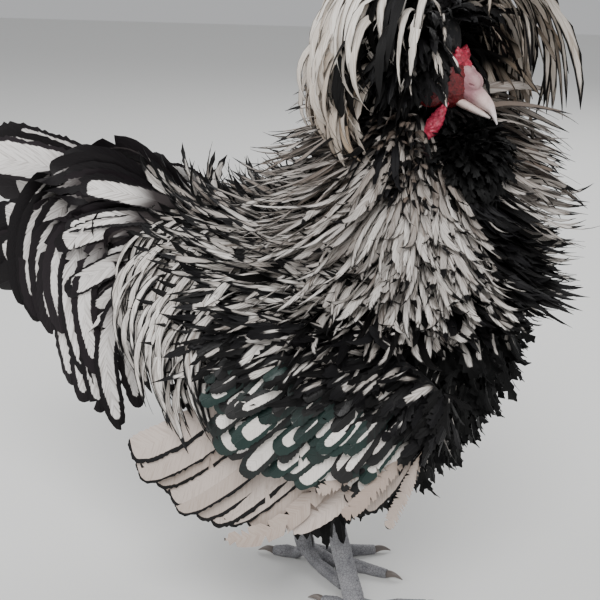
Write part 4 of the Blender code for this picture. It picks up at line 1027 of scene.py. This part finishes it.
def wingCoat(name, kind):
    sign = sides[name]
    out = leftward * sign
    wrist, elbow = np.array(wingForm["wrist"]), np.array(wingForm["elbow"])
    drift = (elbow - wrist)[1] / (wrist - elbow)[0]

    def fan(form, count, spread):
        roots, ways, acrosses, lengths = [], [], [], []
        for k in range(count):
            root, rises, dip, length = spread(k)
            back = -ahead * math.cos(dip) - up * math.sin(dip) + out * drift * math.cos(dip)
            roots.append(root)
            lifts = np.array([-0.5, 0.1, 1]) * form.get("lift", 0)
            ways.append([back + out * rise + up * lift for rise, lift in zip(rises, lifts)])
            acrosses.append(ahead * math.sin(dip) - up * math.cos(dip) + out * wingSizes["shingle"])
            lengths.append(length)
        bake = np.stack([np.linspace(0.05, 0.95, count), np.full(count, form["row"])], axis=-1)
        form = {**form, "length": 0.1}
        tract = dress(form, np.array(roots), np.array(ways), -sign * np.array(acrosses), bake)
        tract["length"] = np.array(lengths) * rng.uniform(0.96, 1.04, count)
        return tract

    def flight(k):
        share = k / (wingSizes["flights"] - 1)
        dip = math.radians(56 - 20 * share)
        reach = np.interp(share, (0, 0.2, 0.4, 0.7, 1), (0.60, 0.86, 1.16, 1.2, 0.95))
        root = origin + mirrored(wrist + (elbow - wrist) * share, sign)
        rises = (0.05 + 0.05 * share, 0.01 + 0.05 * share, -0.10 + 0.05 * share)
        return root, rises, dip, wingSizes["flightLength"] * reach

    def frayed(k):
        # a few frayed pale feathers hang below the wrist
        place = wrist + np.array([0.006 - 0.006 * k, 0.004, -0.004 + 0.002 * (k % 2)])
        dip = math.radians(64 - 5 * k + rng.uniform(-5, 5))
        return origin + mirrored(place, sign), (0.3, 0.05, 0.0), dip, rng.uniform(0.052, 0.066)

    if kind == "flights":
        # only the outer edge, which is the lower one here, is laced
        main = fan({**flightForm, "row": 0.60, "plain": -sign * 0.004}, wingSizes["flights"], flight)
        loose = list(wingSizes["loose"])
        main["length"][loose] *= 1.40
        main["width"][loose] *= 0.6
        main["split"][loose] = 0.25
        main["mark"][loose, 0] = -0.1
        main["ways"][loose] += out * 0.07 - up * 0.08
        main["ways"][loose, 2] += up * 0.6 - ahead * 0.2
        return [main, fan({**frayedForm, "row": 0.64}, wingSizes["frayed"], frayed)]
    tiers = []
    for row, (count, above, length) in enumerate(covertTiers):
        rise = 0.20 + 0.07 * row

        def covert(k):
            share = 0.01 + (0.80 + 0.04 * row) * (k + 0.25 * row) / count
            place = wrist + (elbow - wrist) * share + up * above
            dip = math.radians(54 - 20 * share + rng.uniform(-3, 3))
            return armSkin(place, sign), (rise * 1.6, rise - 0.10, rise - 0.24), dip, length

        tier = fan({**covertForm, "row": 0.68 + 0.07 * row}, count, covert)
        tier["width"] *= 1 - 0.12 * row
        tier["mark"][:, 0] += 0.044 * row + rng.uniform(0, 0.03 * row, count)
        tier["ways"] += rng.normal(0, 0.05 * row, tier["ways"].shape)
        tiers.append(tier)
    return tiers


# The tail: a tent of main feathers, sickles that arch over it, and broad coverts that hang beside the rump.
rectrixForm = {
    "shape": "quill", "width": (0.026, 0.032), "stray": 0.05, "lace": (0.0030, 0.0060),
    "tip": (0.010, 0.022), "stain": (0.0, 0.1), "notch": (0.03, 0.08), "split": 0.02, "twist": (-0.5, 0.5),
    "patch": 0.03, "thick": 0.0014,
}
sickleForm = {
    "shape": "sickle", "width": (0.018, 0.023), "stray": 0.06, "lace": (0.0040, 0.0070),
    "tip": (0.008, 0.016), "stain": (0.0, 0.1), "notch": (0.03, 0.10), "split": 0.02, "twist": (-0.4, 0.4),
    "patch": 0.03, "thick": 0.0011,
}
tailCovertForm = {**sickleForm, "width": (0.017, 0.023), "lace": (0.0034, 0.0050), "tip": (0.006, 0.011)}
leafForm = {**sickleForm, "width": (0.013, 0.017), "lace": (0.0010, 0.0026), "tip": (0.003, 0.008)}
tailCounts = {"rectrix": 7, "sickle": 8, "covert": 13, "leaf": 9}
tuftForm = {
    "shape": "lancet", "width": (0.008, 0.012), "stray": 0.22, "lace": (0.001, 0.003), "tip": (0.004, 0.014),
    "stain": (0.1, 0.5), "notch": (0.2, 0.5), "split": (0.1, 0.3), "twist": (-0.8, 0.8), "patch": 0.008,
    "tSpan": (0.05, 0.95), "angleSpan": (0, 360), "spacing": 0.0062, "length": (0.034, 0.056),
    "curl": ((0.8, 0.7, 0.1), (0.5, 1, 0), (0.8, 0.6, 0.2)),
}


def tailCoat():
    tracts = []
    for side, sign in enumerate(sides.values()):
        out = leftward * sign
        groups = {kind: [] for kind in tailCounts}
        for share in shares(tailCounts["rectrix"]):
            pitch = math.radians(19 - 36 * share)
            back = -ahead * math.cos(pitch) + up * math.sin(pitch) + out * (0.05 + 0.2 * share)
            root = stumpAt + np.array([-0.012, sign * (0.003 + 0.009 * share), 0.013 - 0.024 * share])
            ways = [back + up * 0.12, back, back - up * 0.22]
            groups["rectrix"].append((root, ways, up + out * (0.2 + 0.25 * share), 0.152 - 0.020 * share))
        for share in shares(tailCounts["sickle"]):
            rise = 1.3 - 0.8 * share
            spread = 0.22 + 0.34 * share
            root = stumpAt + np.array([0.012 * share, sign * (0.009 + 0.007 * share), 0.016 - 0.014 * share])
            ways = [
                -ahead * 0.7 + up * rise + out * spread,
                -ahead + up * rise * 0.25 + out * spread,
                -ahead * 0.75 - up * 0.7 + out * spread * 0.5,
                -ahead * 0.08 - up + out * spread * 0.2,
                ahead * 0.2 - up,
            ]
            across = -up * 0.5 - ahead * 0.8 + out * 0.3
            groups["sickle"].append((root, ways, across, 0.212 - 0.052 * share + rng.uniform(-0.006, 0.006)))
        for k, share in enumerate(shares(tailCounts["covert"])):
            x = 0.012 - 0.014 * (k % 2) + 0.014 * share
            root = stumpAt + np.array([x, sign * (0.014 + 0.003 * (k % 3)), 0.010 - 0.034 * share])
            ways = [
                -ahead * 0.8 + up * (0.4 - 0.6 * share) + out * (0.50 + 0.3 * share),
                -ahead * 0.90 - up * (0.20 + 0.5 * share) + out * (0.40 + 0.18 * share),
                -ahead * 0.40 - up + out * 0.15,
                ahead * 0.1 - up,
                ahead * rng.uniform(0.1, 0.4) - up,
            ]
            across = -up * 0.55 - ahead * 0.8 + out * 0.3
            groups["covert"].append((root, ways, across, rng.uniform(0.158, 0.180) - 0.030 * share))
        for k in range(tailCounts["leaf"]):
            # shorter pale leaves over the roots of the rest
            x = 0.024 - 0.006 * (k % 3)
            root = stumpAt + np.array([x, sign * (0.016 + 0.002 * (k % 3)), 0.012 - 0.0045 * k])
            ways = [
                -ahead * 0.8 + up * (0.60 - 0.12 * k) + out * 0.75,
                -ahead - up * (0.13 * k - 0.12) + out * 0.45,
                -ahead * 0.9 - up * (0.16 + 0.14 * k) + out * 0.1,
            ]
            groups["leaf"].append((root, ways, -up - ahead * 0.3 + out * 0.3, rng.uniform(0.082, 0.104)))
        forms = (rectrixForm, sickleForm, tailCovertForm, leafForm)
        for k, (form, group) in enumerate(zip(forms, groups.values())):
            roots, ways, acrosses, lengths = (np.array(column) for column in zip(*group))
            ways = np.stack([unit(way) for way in ways])
            if ways.shape[1] == 3:
                between = (ways[:, :-1] + ways[:, 1:]) / 2
                ways = np.stack([ways[:, 0], between[:, 0], ways[:, 1], between[:, 1], ways[:, 2]], axis=1)
            row = np.full(len(group), 0.1 + 0.12 * k)
            bake = np.stack([np.linspace(0.04, 0.96, len(group)), row], axis=-1)
            tract = dress({**form, "length": 0.1}, origin + roots, ways, sign * acrosses, halfOf(bake, side))
            tract["length"] = lengths
            if form is sickleForm:
                tract["mark"][:2, 0] += 0.22
                tract["mark"][2:5, 0] += 0.05
            tracts.append(tract)
    return tracts


def tailTufts():
    spot = ballSpot(stumpAt, [half * 0.94 for half in stumpHalf], np.eye(3))
    return [grown(spot, tuftForm, -ahead)]


# Flesh. Parts are lofted from tubes, then fused by a voxel remesh.

def loftSpot(name, spot, last, first, rings, around):
    # a closed tube on a surface, from its share last back to first
    t = np.linspace(last, first, rings)
    angle = np.arange(around) * 2 * math.pi / around
    points = spot(*np.meshgrid(t, angle, indexing="ij"))
    return meshFromRings(name, points[None], tubeBlank(around, rings - 1))[0]


def loftRings(name, rings):
    rings = np.array(rings)
    return meshFromRings(name, rings[None], tubeBlank(rings.shape[1], len(rings) - 1))[0]


def ringAt(middle, axis, upward, halfWidth, halfHeight, around):
    axis = unit(np.asarray(axis, dtype=float))
    side = unit(np.cross(upward, axis))
    upright = np.cross(axis, side)
    angle = (np.arange(around) * 2 * math.pi / around)[:, None]
    return middle + side * halfWidth * np.cos(angle) + upright * halfHeight * np.sin(angle)


def ball(name, middle, half, turn, columns=24, rows=16):
    bpy.ops.object.select_all(action="DESELECT")
    bpy.ops.mesh.primitive_uv_sphere_add(segments=columns, ring_count=rows, radius=1)
    piece = bpy.context.object
    piece.name = name
    place = Matrix.Translation(middle) @ Matrix(turn.tolist()).to_4x4() @ Matrix.Diagonal((*half, 1))
    piece.data.transform(place)
    return piece


def chosen(pieces):
    bpy.ops.object.select_all(action="DESELECT")
    for piece in pieces:
        piece.select_set(True)
    bpy.context.view_layer.objects.active = pieces[0]


def fuse(name, pieces, voxel, smoothing=0):
    chosen(pieces)
    bpy.ops.object.join()
    piece = bpy.context.object
    piece.name = name
    remesh = piece.modifiers.new("fuse", "REMESH")
    remesh.mode = "VOXEL"
    remesh.voxel_size = voxel
    bpy.ops.object.modifier_apply(modifier="fuse")
    if smoothing:
        smooth = piece.modifiers.new("ease", "SMOOTH")
        smooth.iterations = smoothing
        smooth.factor = 0.5
        bpy.ops.object.modifier_apply(modifier="ease")
    piece.data.shade_smooth()
    return piece


def carve(piece, cutter):
    hole = piece.modifiers.new("hole", "BOOLEAN")
    hole.operation = "DIFFERENCE"
    hole.object = cutter
    chosen([piece])
    bpy.ops.object.modifier_apply(modifier="hole")
    bpy.data.objects.remove(cutter)


def roughen(piece, height, grain, seed=0.0):
    # moves a mesh along its normals by noise, with lumps of the grain given, in metres
    mesh = piece.data
    shift = Vector((seed, seed * 1.7, 0))
    moves = [v.normal * height * noise.noise(v.co / grain + shift) for v in mesh.vertices]
    points = np.array([v.co + move for v, move in zip(mesh.vertices, moves)])
    mesh.vertices.foreach_set("co", points.reshape(-1))
    mesh.update()


def finishPiece(piece, material, slot, *nodes):
    if not piece.data.materials:
        piece.data.materials.append(material)
    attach(piece, "root")
    if nodes:
        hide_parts(*nodes)
    return piece


skinForm = {"voxel": 0.003, "inset": 0.0015}


def bodySkin():
    parts = [
        loftSpot("torsoFlesh", torsoSpot, 0.998, 0.002, 40, 40),
        loftSpot("neckFlesh", neckSpot, 1.0, 0.05, 16, 32),
    ]
    for name, sign in sides.items():
        parts.append(loftSpot(name + "ThighFlesh", thighSpot(name), 1.02, -0.2, 14, 24))
        turn = turned(-wingForm["yaw"] * sign, wingForm["pitch"])
        middle = origin + mirrored(wingForm["mid"], sign)
        parts.append(ball(name + "ArmFlesh", middle, wingForm["half"], turn))
    parts.append(ball("stumpFlesh", origin + stumpAt, stumpHalf, np.eye(3)))
    parts.append(ball("knobFlesh", headSpot(*headForm["crestAt"]), headForm["crestHalf"], headTurn))
    parts.append(ball("beardFlesh", headSpot(*headForm["beardAt"]), headForm["beardHalf"], headTurn))
    parts.append(ball("jawFlesh", headSpot(*jawForm["at"]), jawForm["half"], headTurn))
    skin = fuse("body_skin", parts, skinForm["voxel"], 4)
    mesh = skin.data
    points = np.array([v.co - v.normal * skinForm["inset"] for v in mesh.vertices])
    mesh.vertices.foreach_set("co", points.reshape(-1))
    mesh.update()
    return skin


# The bare face: red skin from the bill to behind the eye, with lids, a cheek and a fold at the gape.
faceForm = {
    "voxel": 0.0008, "wrinkle": 0.0005, "grain": 0.0022, "lidTube": 0.0011, "lidSteps": 24,
    "swells": (
        ("cheek", (0.004, 0.0135, -0.010), (0.010, 0.0055, 0.0065)),
        ("gape", (0.0145, 0.0085, -0.0085), (0.0052, 0.0036, 0.0030)),
    ),
}


def faceSkin():
    skull = origin + np.array(headForm["skull"])
    parts = [ball("skullFlesh", skull, [half - 0.0004 for half in headForm["skullHalf"]], headTurn, 32, 24)]
    snout = [
        ringAt(headSpot(x, 0, -0.003), headTurn @ ahead, headTurn @ up, width, height, 24)
        for x, width, height in (
            (-0.006, 0.0163, 0.0163), (0.002, 0.0156, 0.0158), (0.009, 0.0146, 0.0148),
            (0.0145, 0.0125, 0.0130), (headForm["billRoot"] - 0.0004, 0.0100, 0.0112),
        )
    ]
    parts.append(loftRings("snoutFlesh", snout))
    forward, out, above = headForm["eyeAt"]
    for sign in sides.values():
        middle = headSpot(forward, sign * (out + 0.0012), above)
        for tilt, size in ((0.0, 1.0), (0.0006, 1.16)):
            rim = []
            count = faceForm["lidSteps"]
            for k in range(count):
                angle = 2 * math.pi * k / count
                spot = np.array([math.cos(angle) * 1.08, 0, math.sin(angle) * 0.92])
                spot = spot * (headForm["eyeRadius"] * size)
                spot[1] = sign * (0.0018 - tilt - 0.0012 * abs(math.cos(angle)))
                rim.append(middle + headTurn @ spot)
            rim = np.array(rim)
            ringMid = rim.mean(axis=0)
            rings = []
            for k in range(count + 1):
                here = rim[k % count]
                axis = rim[(k + 1) % count] - rim[(k - 1) % count]
                rings.append(ringAt(here, axis, here - ringMid, faceForm["lidTube"], faceForm["lidTube"], 8))
            parts.append(loftRings("lid", rings))
        for kind, at, half in faceForm["swells"]:
            parts.append(ball(kind, headSpot(*mirrored(at, sign)), half, headTurn))
    face = fuse("face_skin", parts, faceForm["voxel"], 3)
    roughen(face, faceForm["wrinkle"], faceForm["grain"])
    roughen(face, faceForm["wrinkle"] * 0.5, faceForm["grain"] * 0.4, 4.0)
    socket = [headForm["eyeRadius"] + 0.00012] * 3
    for sign in sides.values():
        carve(face, ball("socket", headSpot(forward, sign * out, above), socket, headTurn))
    face.data.shade_smooth()
    return face


eyeForm = {"gaze": (0.16, 1, 0.04), "bulge": 0.0004, "bulgeWithin": 34}


def eyeBall(name):
    forward, out, above = headForm["eyeAt"]
    sign = sides[name]
    middle = headSpot(forward, sign * out, above)
    eye = ball(name + "_eyeball", middle, [headForm["eyeRadius"]] * 3, headTurn, 40, 28)
    gaze = headTurn @ unit(mirrored(eyeForm["gaze"], sign))
    points = np.array([v.co for v in eye.data.vertices])
    off = unit(points - middle)
    angle = np.degrees(np.arccos(np.clip(off @ gaze, -1, 1)))
    layer = eye.data.attributes.new("gaze", "FLOAT", "POINT")
    layer.data.foreach_set("value", angle.astype(np.float32))
    # the cornea bulges a little over the iris
    bulge = np.clip(1 - angle / eyeForm["bulgeWithin"], 0, 1)[:, None] * eyeForm["bulge"]
    eye.data.vertices.foreach_set("co", (points + off * bulge).astype(np.float32).reshape(-1))
    eye.data.shade_smooth()
    return eye


# The bill: a hooked upper half with the swollen nostrils of crested breeds on its root, and a lower one.
billForm = {
    "halfWidth": 0.0075, "halfHeight": 0.0078, "around": 24, "rings": 18,
    "bulbs": (
        ("bulb", (0.0032, 0.0040, 0.0058), (0.0080, 0.0046, 0.0066)),
        ("bulbTop", (-0.0006, 0.0034, 0.0098), (0.0056, 0.0040, 0.0050)),
    ),
    "nostril": ((0.0074, 0.0086, 0.0056), (0.0028, 0.0016, 0.0009)), "voxel": 0.00045,
    "lowerRings": 14, "lowerShare": 0.78,
}


def upperBill():
    root, length = headForm["billRoot"], headForm["billLength"]
    axis, upright = headTurn @ ahead, headTurn @ up
    rings = []
    for k in range(billForm["rings"]):
        share = 0.985 * k / (billForm["rings"] - 1)
        width = billForm["halfWidth"] * (1 - share**1.7) + 0.0003
        height = 0.74 * billForm["halfHeight"] * (1 - share**1.9) + 0.0005
        drop = 0.0012 - 0.0088 * share**1.7 - 0.0044 * max(0, share - 0.72) / 0.28
        middle = headSpot(root + length * share * (1 - 0.12 * share), 0, drop)
        ring = ringAt(middle, axis, upright, width, height, billForm["around"])
        # a ridge along the top
        off = (ring - ring.mean(axis=0)) @ np.stack([headTurn @ leftward, upright], axis=-1)
        ridge = np.exp(-(off[:, 0] / 0.0022) ** 2) * (off[:, 1] > 0) * 0.0009 * (1 - share)
        rings.append(ring + ridge[:, None] * upright)
    parts = [loftRings("billShell", rings)]
    for sign in sides.values():
        for kind, (forward, out, above), half in billForm["bulbs"]:
            parts.append(ball(kind, headSpot(root + forward, sign * out, above), half, headTurn))
    bill = fuse("upper_bill", parts, billForm["voxel"], 2)
    (forward, out, above), half = billForm["nostril"]
    for sign in sides.values():
        carve(bill, ball("nostril", headSpot(root + forward, sign * out, above), half, headTurn))
    bill.data.shade_smooth()
    return bill


def lowerBill():
    root, length = headForm["billRoot"], headForm["billLength"]
    rings = []
    for k in range(billForm["lowerRings"]):
        share = billForm["lowerShare"] * k / (billForm["lowerRings"] - 1)
        width = 0.84 * billForm["halfWidth"] * (1 - (share / 0.80) ** 1.8) + 0.0004
        height = 0.0032 * (1 - (share / 0.80) ** 2.2) + 0.0004
        middle = headSpot(root + length * share * 0.90, 0, -0.0068 - 0.0034 * share)
        rings.append(ringAt(middle, headTurn @ ahead, headTurn @ up, width, height, 20))
    bill = loftRings("lower_bill", rings)
    bill.data.shade_smooth()
    return bill


# Comb and wattles: soft red skin, the comb in knobbly horns that part in a V.
combForm = {
    "horns": ((0.0, 0.0132, 0.0050), (0.5, 0.0104, 0.0040), (-0.5, 0.0088, 0.0036)),
    "voxel": 0.0005, "wart": 0.0007, "grain": 0.0016,
}
wattleForm = {"rings": 14, "voxel": 0.00045, "wart": 0.0006, "grain": 0.0017}


def comb():
    # each side has three horns, given by their lean, height and thickness
    parts = []
    for sign in sides.values():
        for k, (lean, tall, thick) in enumerate(combForm["horns"]):
            base = np.array([0.0125 - 0.003 * k, sign * (0.0022 + 0.0015 * k), 0.0145])
            way = np.array([-0.25 + lean * 0.6, sign * (0.95 + 0.2 * lean), 0.9])
            rings = []
            for share in shares(8):
                bend = np.array([0, sign * 0.002, 0]) * math.sin(math.pi * share)
                spot = headSpot(*(base + unit(way) * tall * share + bend))
                radius = thick * (1 - share**1.8) + 0.0004
                rings.append(ringAt(spot, headTurn @ unit(way), headTurn @ ahead, radius, radius * 0.85, 14))
            parts.append(loftRings("horn", rings))
    parts.append(ball("combBase", headSpot(0.0140, 0, 0.0138), (0.0062, 0.0064, 0.0040), headTurn))
    made = fuse("comb_skin", parts, combForm["voxel"], 2)
    roughen(made, combForm["wart"], combForm["grain"], 2.0)
    return made


def wattle(name):
    sign = sides[name]
    way = headTurn @ np.array([-0.35, sign * 0.2, -1])
    rings = []
    for share in shares(wattleForm["rings"]):
        swell = math.sin(math.pi * (0.06 + 0.90 * share) ** 1.3)
        middle = headSpot(0.0175 - 0.0030 * share, sign * (0.0136 + 0.0072 * share), -0.0085 - 0.0250 * share)
        radius = 0.0008 + 0.0043 * swell
        rings.append(ringAt(middle, way, headTurn @ ahead, radius * 0.55, radius, 18))
    made = fuse(name + "_wattle_skin", [loftRings("drop", rings)], wattleForm["voxel"], 1)
    roughen(made, wattleForm["wart"], wattleForm["grain"], 5.0 + sign)
    return made


# Legs: slate scutes on the shank and toes, round pads under them, a spur, and horn claws.
scaleForm = {
    "shank": 0.0036, "toe": 0.0026, "rise": 0.00042, "shankRings": 96, "toeRings": 64, "voxel": 0.0006,
}
spurForm = {"at": 0.42, "length": 0.013, "radius": 0.0036, "rings": 8}
clawForm = {"length": 0.0125, "radius": 0.0027, "rings": 12}
toeForms = {
    "inner": (0.052, 34, 3), "middle": (0.066, 0, 4), "outer": (0.054, -34, 4), "back": (0.026, 172, 2),
}


def shankSkin(name):
    sign = sides[name]
    joint = np.array(legForm[name])
    hock = hockOf(name)
    rings = []
    for k in range(scaleForm["shankRings"]):
        share = -0.06 + 1.06 * k / (scaleForm["shankRings"] - 1)
        swell = np.interp(share, (-0.06, 0.06, 0.25, 0.7, 1.0), (1.05, 1.22, 1.1, 1.12, 1.3))
        radius = swell * legForm["radius"]
        middle = origin + joint + (hock - joint) * share
        ring = ringAt(middle, hock - joint, ahead, radius * 0.86, radius, 20)
        middle = ring.mean(axis=0)
        out = unit(ring - middle)
        along = share * legForm["rise"] / scaleForm["shank"]
        front = np.clip(out[:, 0] * 1.4, 0, 1)
        back = np.clip(-out[:, 0] * 1.2, 0, 1)
        plate = (1 - (along % 1)) * scaleForm["rise"] * front + abs(math.sin(along * 2.6)) * 0.0003 * back
        rings.append(ring + out * plate[:, None])
    parts = [loftRings("shank", rings)]
    claws = []
    for toe, (length, spread, pads) in toeForms.items():
        angle = -math.radians(spread) * sign
        way = np.array([math.cos(angle), math.sin(angle), 0])
        rings = []
        for share in shares(scaleForm["toeRings"]):
            swell = np.interp(share, (0, 0.35, 0.6, 0.8, 1), (1.15, 0.95, 1.05, 0.9, 0.76))
            radius = legForm["toeRadius"] * swell
            middle = joint + way * length * share
            pad = abs(math.sin(math.pi * share * pads)) ** 0.7
            middle[2] = max(radius * 0.86, (joint[2] - 0.002) * (1 - share * 1.8))
            ring = ringAt(origin + middle, way, up, radius, radius, 18)
            out = unit(ring - ring.mean(axis=0))
            along = share * length / scaleForm["toe"]
            plate = (1 - (along % 1)) * scaleForm["rise"] * 0.8 * np.clip(out[:, 2] * 1.3, 0, 1)
            under = (0.0008 * pad - 0.0003) * np.clip(-out[:, 2], 0, 1)
            ring = ring + out * (plate + under)[:, None]
            ring[:, 2] = np.maximum(ring[:, 2], 0.0)
            rings.append(ring)
        parts.append(loftRings("toe", rings))
        claws.append(clawHorn(f"{name}_{toe}_claw", joint + way * length, way))
    inside = np.array([-0.5, -sign, 0.2])
    at = joint + (hock - joint) * spurForm["at"]
    spur = []
    for share in shares(spurForm["rings"]):
        radius = spurForm["radius"] * (1 - 0.85 * share)
        middle = origin + at + unit(inside) * (0.002 + spurForm["length"] * share) + up * 0.0022 * share**2
        spur.append(ringAt(middle, inside, up, radius, radius, 12))
    parts.append(loftRings("spur", spur))
    skin = fuse(name + "_shank_skin", parts, scaleForm["voxel"], 1)
    return skin, claws


def clawHorn(name, toeEnd, way):
    radius = legForm["toeRadius"] * 0.76
    start = toeEnd + up * (radius * 0.86 - toeEnd[2])
    rings = []
    for share in shares(clawForm["rings"]):
        rise = 0.0014 * math.sin(math.pi * share) - (start[2] - 0.0012) * share**1.6
        size = clawForm["radius"] * (1 - share**1.3) + 0.00035
        middle = origin + start + way * (clawForm["length"] * share) + up * rise
        rings.append(ringAt(middle, way, up, size * 0.8, size, 14))
    horn = loftRings(name + "_horn", rings)
    horn.data.shade_smooth()
    return horn


# Assembly. Each coat goes with the solids that its feathers stand for.
laced, black = "plumage_laced", "plumage_black"
coats = {
    "breast_coat": (torsoCoat("breast"), 12, blackVane, black, ()),
    "belly_coat": (torsoCoat("belly"), 12, blackVane, black, ()),
    "mantle_coat": (torsoCoat("mantle"), 14, bodyVane, laced, ()),
    "back_coat": (torsoCoat("back"), 12, bodyVane, laced, ()),
    "saddle_coat": (saddleCoat(), 16, bodyVane, laced, ()),
    "collar_coat": ([collarCoat()], 14, bodyVane, laced, ()),
    "cape_upper_coat": (capeCoat(False), 14, bodyVane, laced, ()),
    "cape_lower_coat": (capeCoat(True), 14, bodyVane, laced, ()),
    "crest_coat": (crestCoat(), 16, crestVane, laced, ("crest",)),
    "crest_fill": (crestFill(), 12, fillVane, laced, ()),
    "beard_coat": (beardCoat(), 10, blackVane, black, ("beard",)),
    "muff_coat": (muffCoat(), 8, blackVane, black, ()),
    "thigh_coat": (thighCoat(), 12, blackVane, black, ()),
    "right_flights": (wingCoat("right", "flights"), 48, flightVane, laced, ("right_wing",)),
    "left_flights": (wingCoat("left", "flights"), 48, flightVane, laced, ("left_wing",)),
    "right_coverts": (wingCoat("right", "coverts"), 28, wingVane, laced, ()),
    "left_coverts": (wingCoat("left", "coverts"), 28, wingVane, laced, ()),
    "right_bow": (bowCoat("right"), 12, bodyVane, laced, ()),
    "left_bow": (bowCoat("left"), 12, bodyVane, laced, ()),
    "tail_coat": (tailCoat(), 48, tailVane, laced, ("tail",)),
    "tail_tufts": (tailTufts(), 12, bodyVane, laced, ()),
}
for name, (tracts, segments, material, slot, nodes) in coats.items():
    finishPiece(layFeathers(name, tracts, segments, material), material, slot, *nodes)
print("coats laid")

flesh = ("torso", "neck", "right_thigh", "left_thigh")
finishPiece(bodySkin(), downAndGapShadeMaterial(), black, *flesh)
print("skin fused")
finishPiece(faceSkin(), fleshMaterial("dark red face skin", fleshLooks["face"]), "skin_red", "head")
finishPiece(comb(), fleshMaterial("warty comb skin", fleshLooks["comb"]), "skin_red", "comb")
wattleSkin = fleshMaterial("warty wattle skin", fleshLooks["wattle"])
wetEye = eyeMaterial()
for name in sides:
    finishPiece(wattle(name), wattleSkin, "skin_red", name + "_wattle")
    finishPiece(eyeBall(name), wetEye, "eye_dark", name + "_eye")
finishPiece(upperBill(), hornMaterial("upper bill horn", hornLooks["upper"]), "bill_horn", "bill_upper")
finishPiece(lowerBill(), hornMaterial("lower bill horn", hornLooks["lower"]), "bill_horn", "bill_lower")
print("head made")

slate = slateMaterial()
clawMade = newMaterial("claw horn", "#6d6560", 0.4)[0]
for name in sides:
    skin, claws = shankSkin(name)
    finishPiece(skin, slate, "shank_slate", name + "_shank")
    for toe, horn in zip(toeForms, claws):
        finishPiece(horn, clawMade, "claw_horn", f"{name}_{toe}_claw")
print("legs made")


# Studio: a pale floor, a grey world and three large soft lamps.
studio = {"floor": "#e4e4e2", "floorSize": 12, "world": "#f2f3f5", "worldStrength": 0.55, "aimHeight": 0.216}
lamps = {
    "key": {"at": (0.9, -1.9, 2.3), "size": 1.6, "power": 84},
    "fill": {"at": (-2.0, -1.2, 1.5), "size": 2.0, "power": 30},
    "back": {"at": (0.2, 2.0, 1.9), "size": 1.8, "power": 30},
}

bpy.ops.object.select_all(action="DESELECT")
bpy.ops.mesh.primitive_plane_add(size=studio["floorSize"])
floor = bpy.context.object
floor.name = "floor"
floor.data.materials.append(newMaterial("matt pale floor", studio["floor"], 0.9)[0])

world = bpy.data.worlds.new("studio")
bpy.context.scene.world = world
world.use_nodes = True
sky = {"Color": linear(studio["world"]), "Strength": studio["worldStrength"]}
feed(world.node_tree, world.node_tree.nodes["Background"], sky)

aim = Vector(origin + up * studio["aimHeight"])
for name, lamp in lamps.items():
    data = bpy.data.lights.new(name, "AREA")
    data.shape = "DISK"
    data.size = lamp["size"]
    data.energy = lamp["power"]
    light = bpy.data.objects.new(name, data)
    light.location = lamp["at"]
    light.rotation_euler = (aim - light.location).to_track_quat("-Z", "Y").to_euler()
    bpy.context.scene.collection.objects.link(light)

# The photograph's view: from the bird's right and a little ahead of it, and somewhat above.
shot = {"azimuth": 25, "elevation": 17, "distance": 0.78, "fov": 29.6}
azimuth, elevation = math.radians(shot["azimuth"]), math.radians(shot["elevation"])
toCamera = Vector((
    math.sin(azimuth) * math.cos(elevation), -math.cos(azimuth) * math.cos(elevation), math.sin(elevation)
))
lens = bpy.data.cameras.new("camera")
lens.angle = math.radians(shot["fov"])
camera = bpy.data.objects.new("camera", lens)
camera.location = aim + toCamera * shot["distance"]
camera.rotation_euler = (-toCamera).to_track_quat("-Z", "Y").to_euler()
bpy.context.scene.collection.objects.link(camera)
bpy.context.scene.camera = camera
print("studio set")
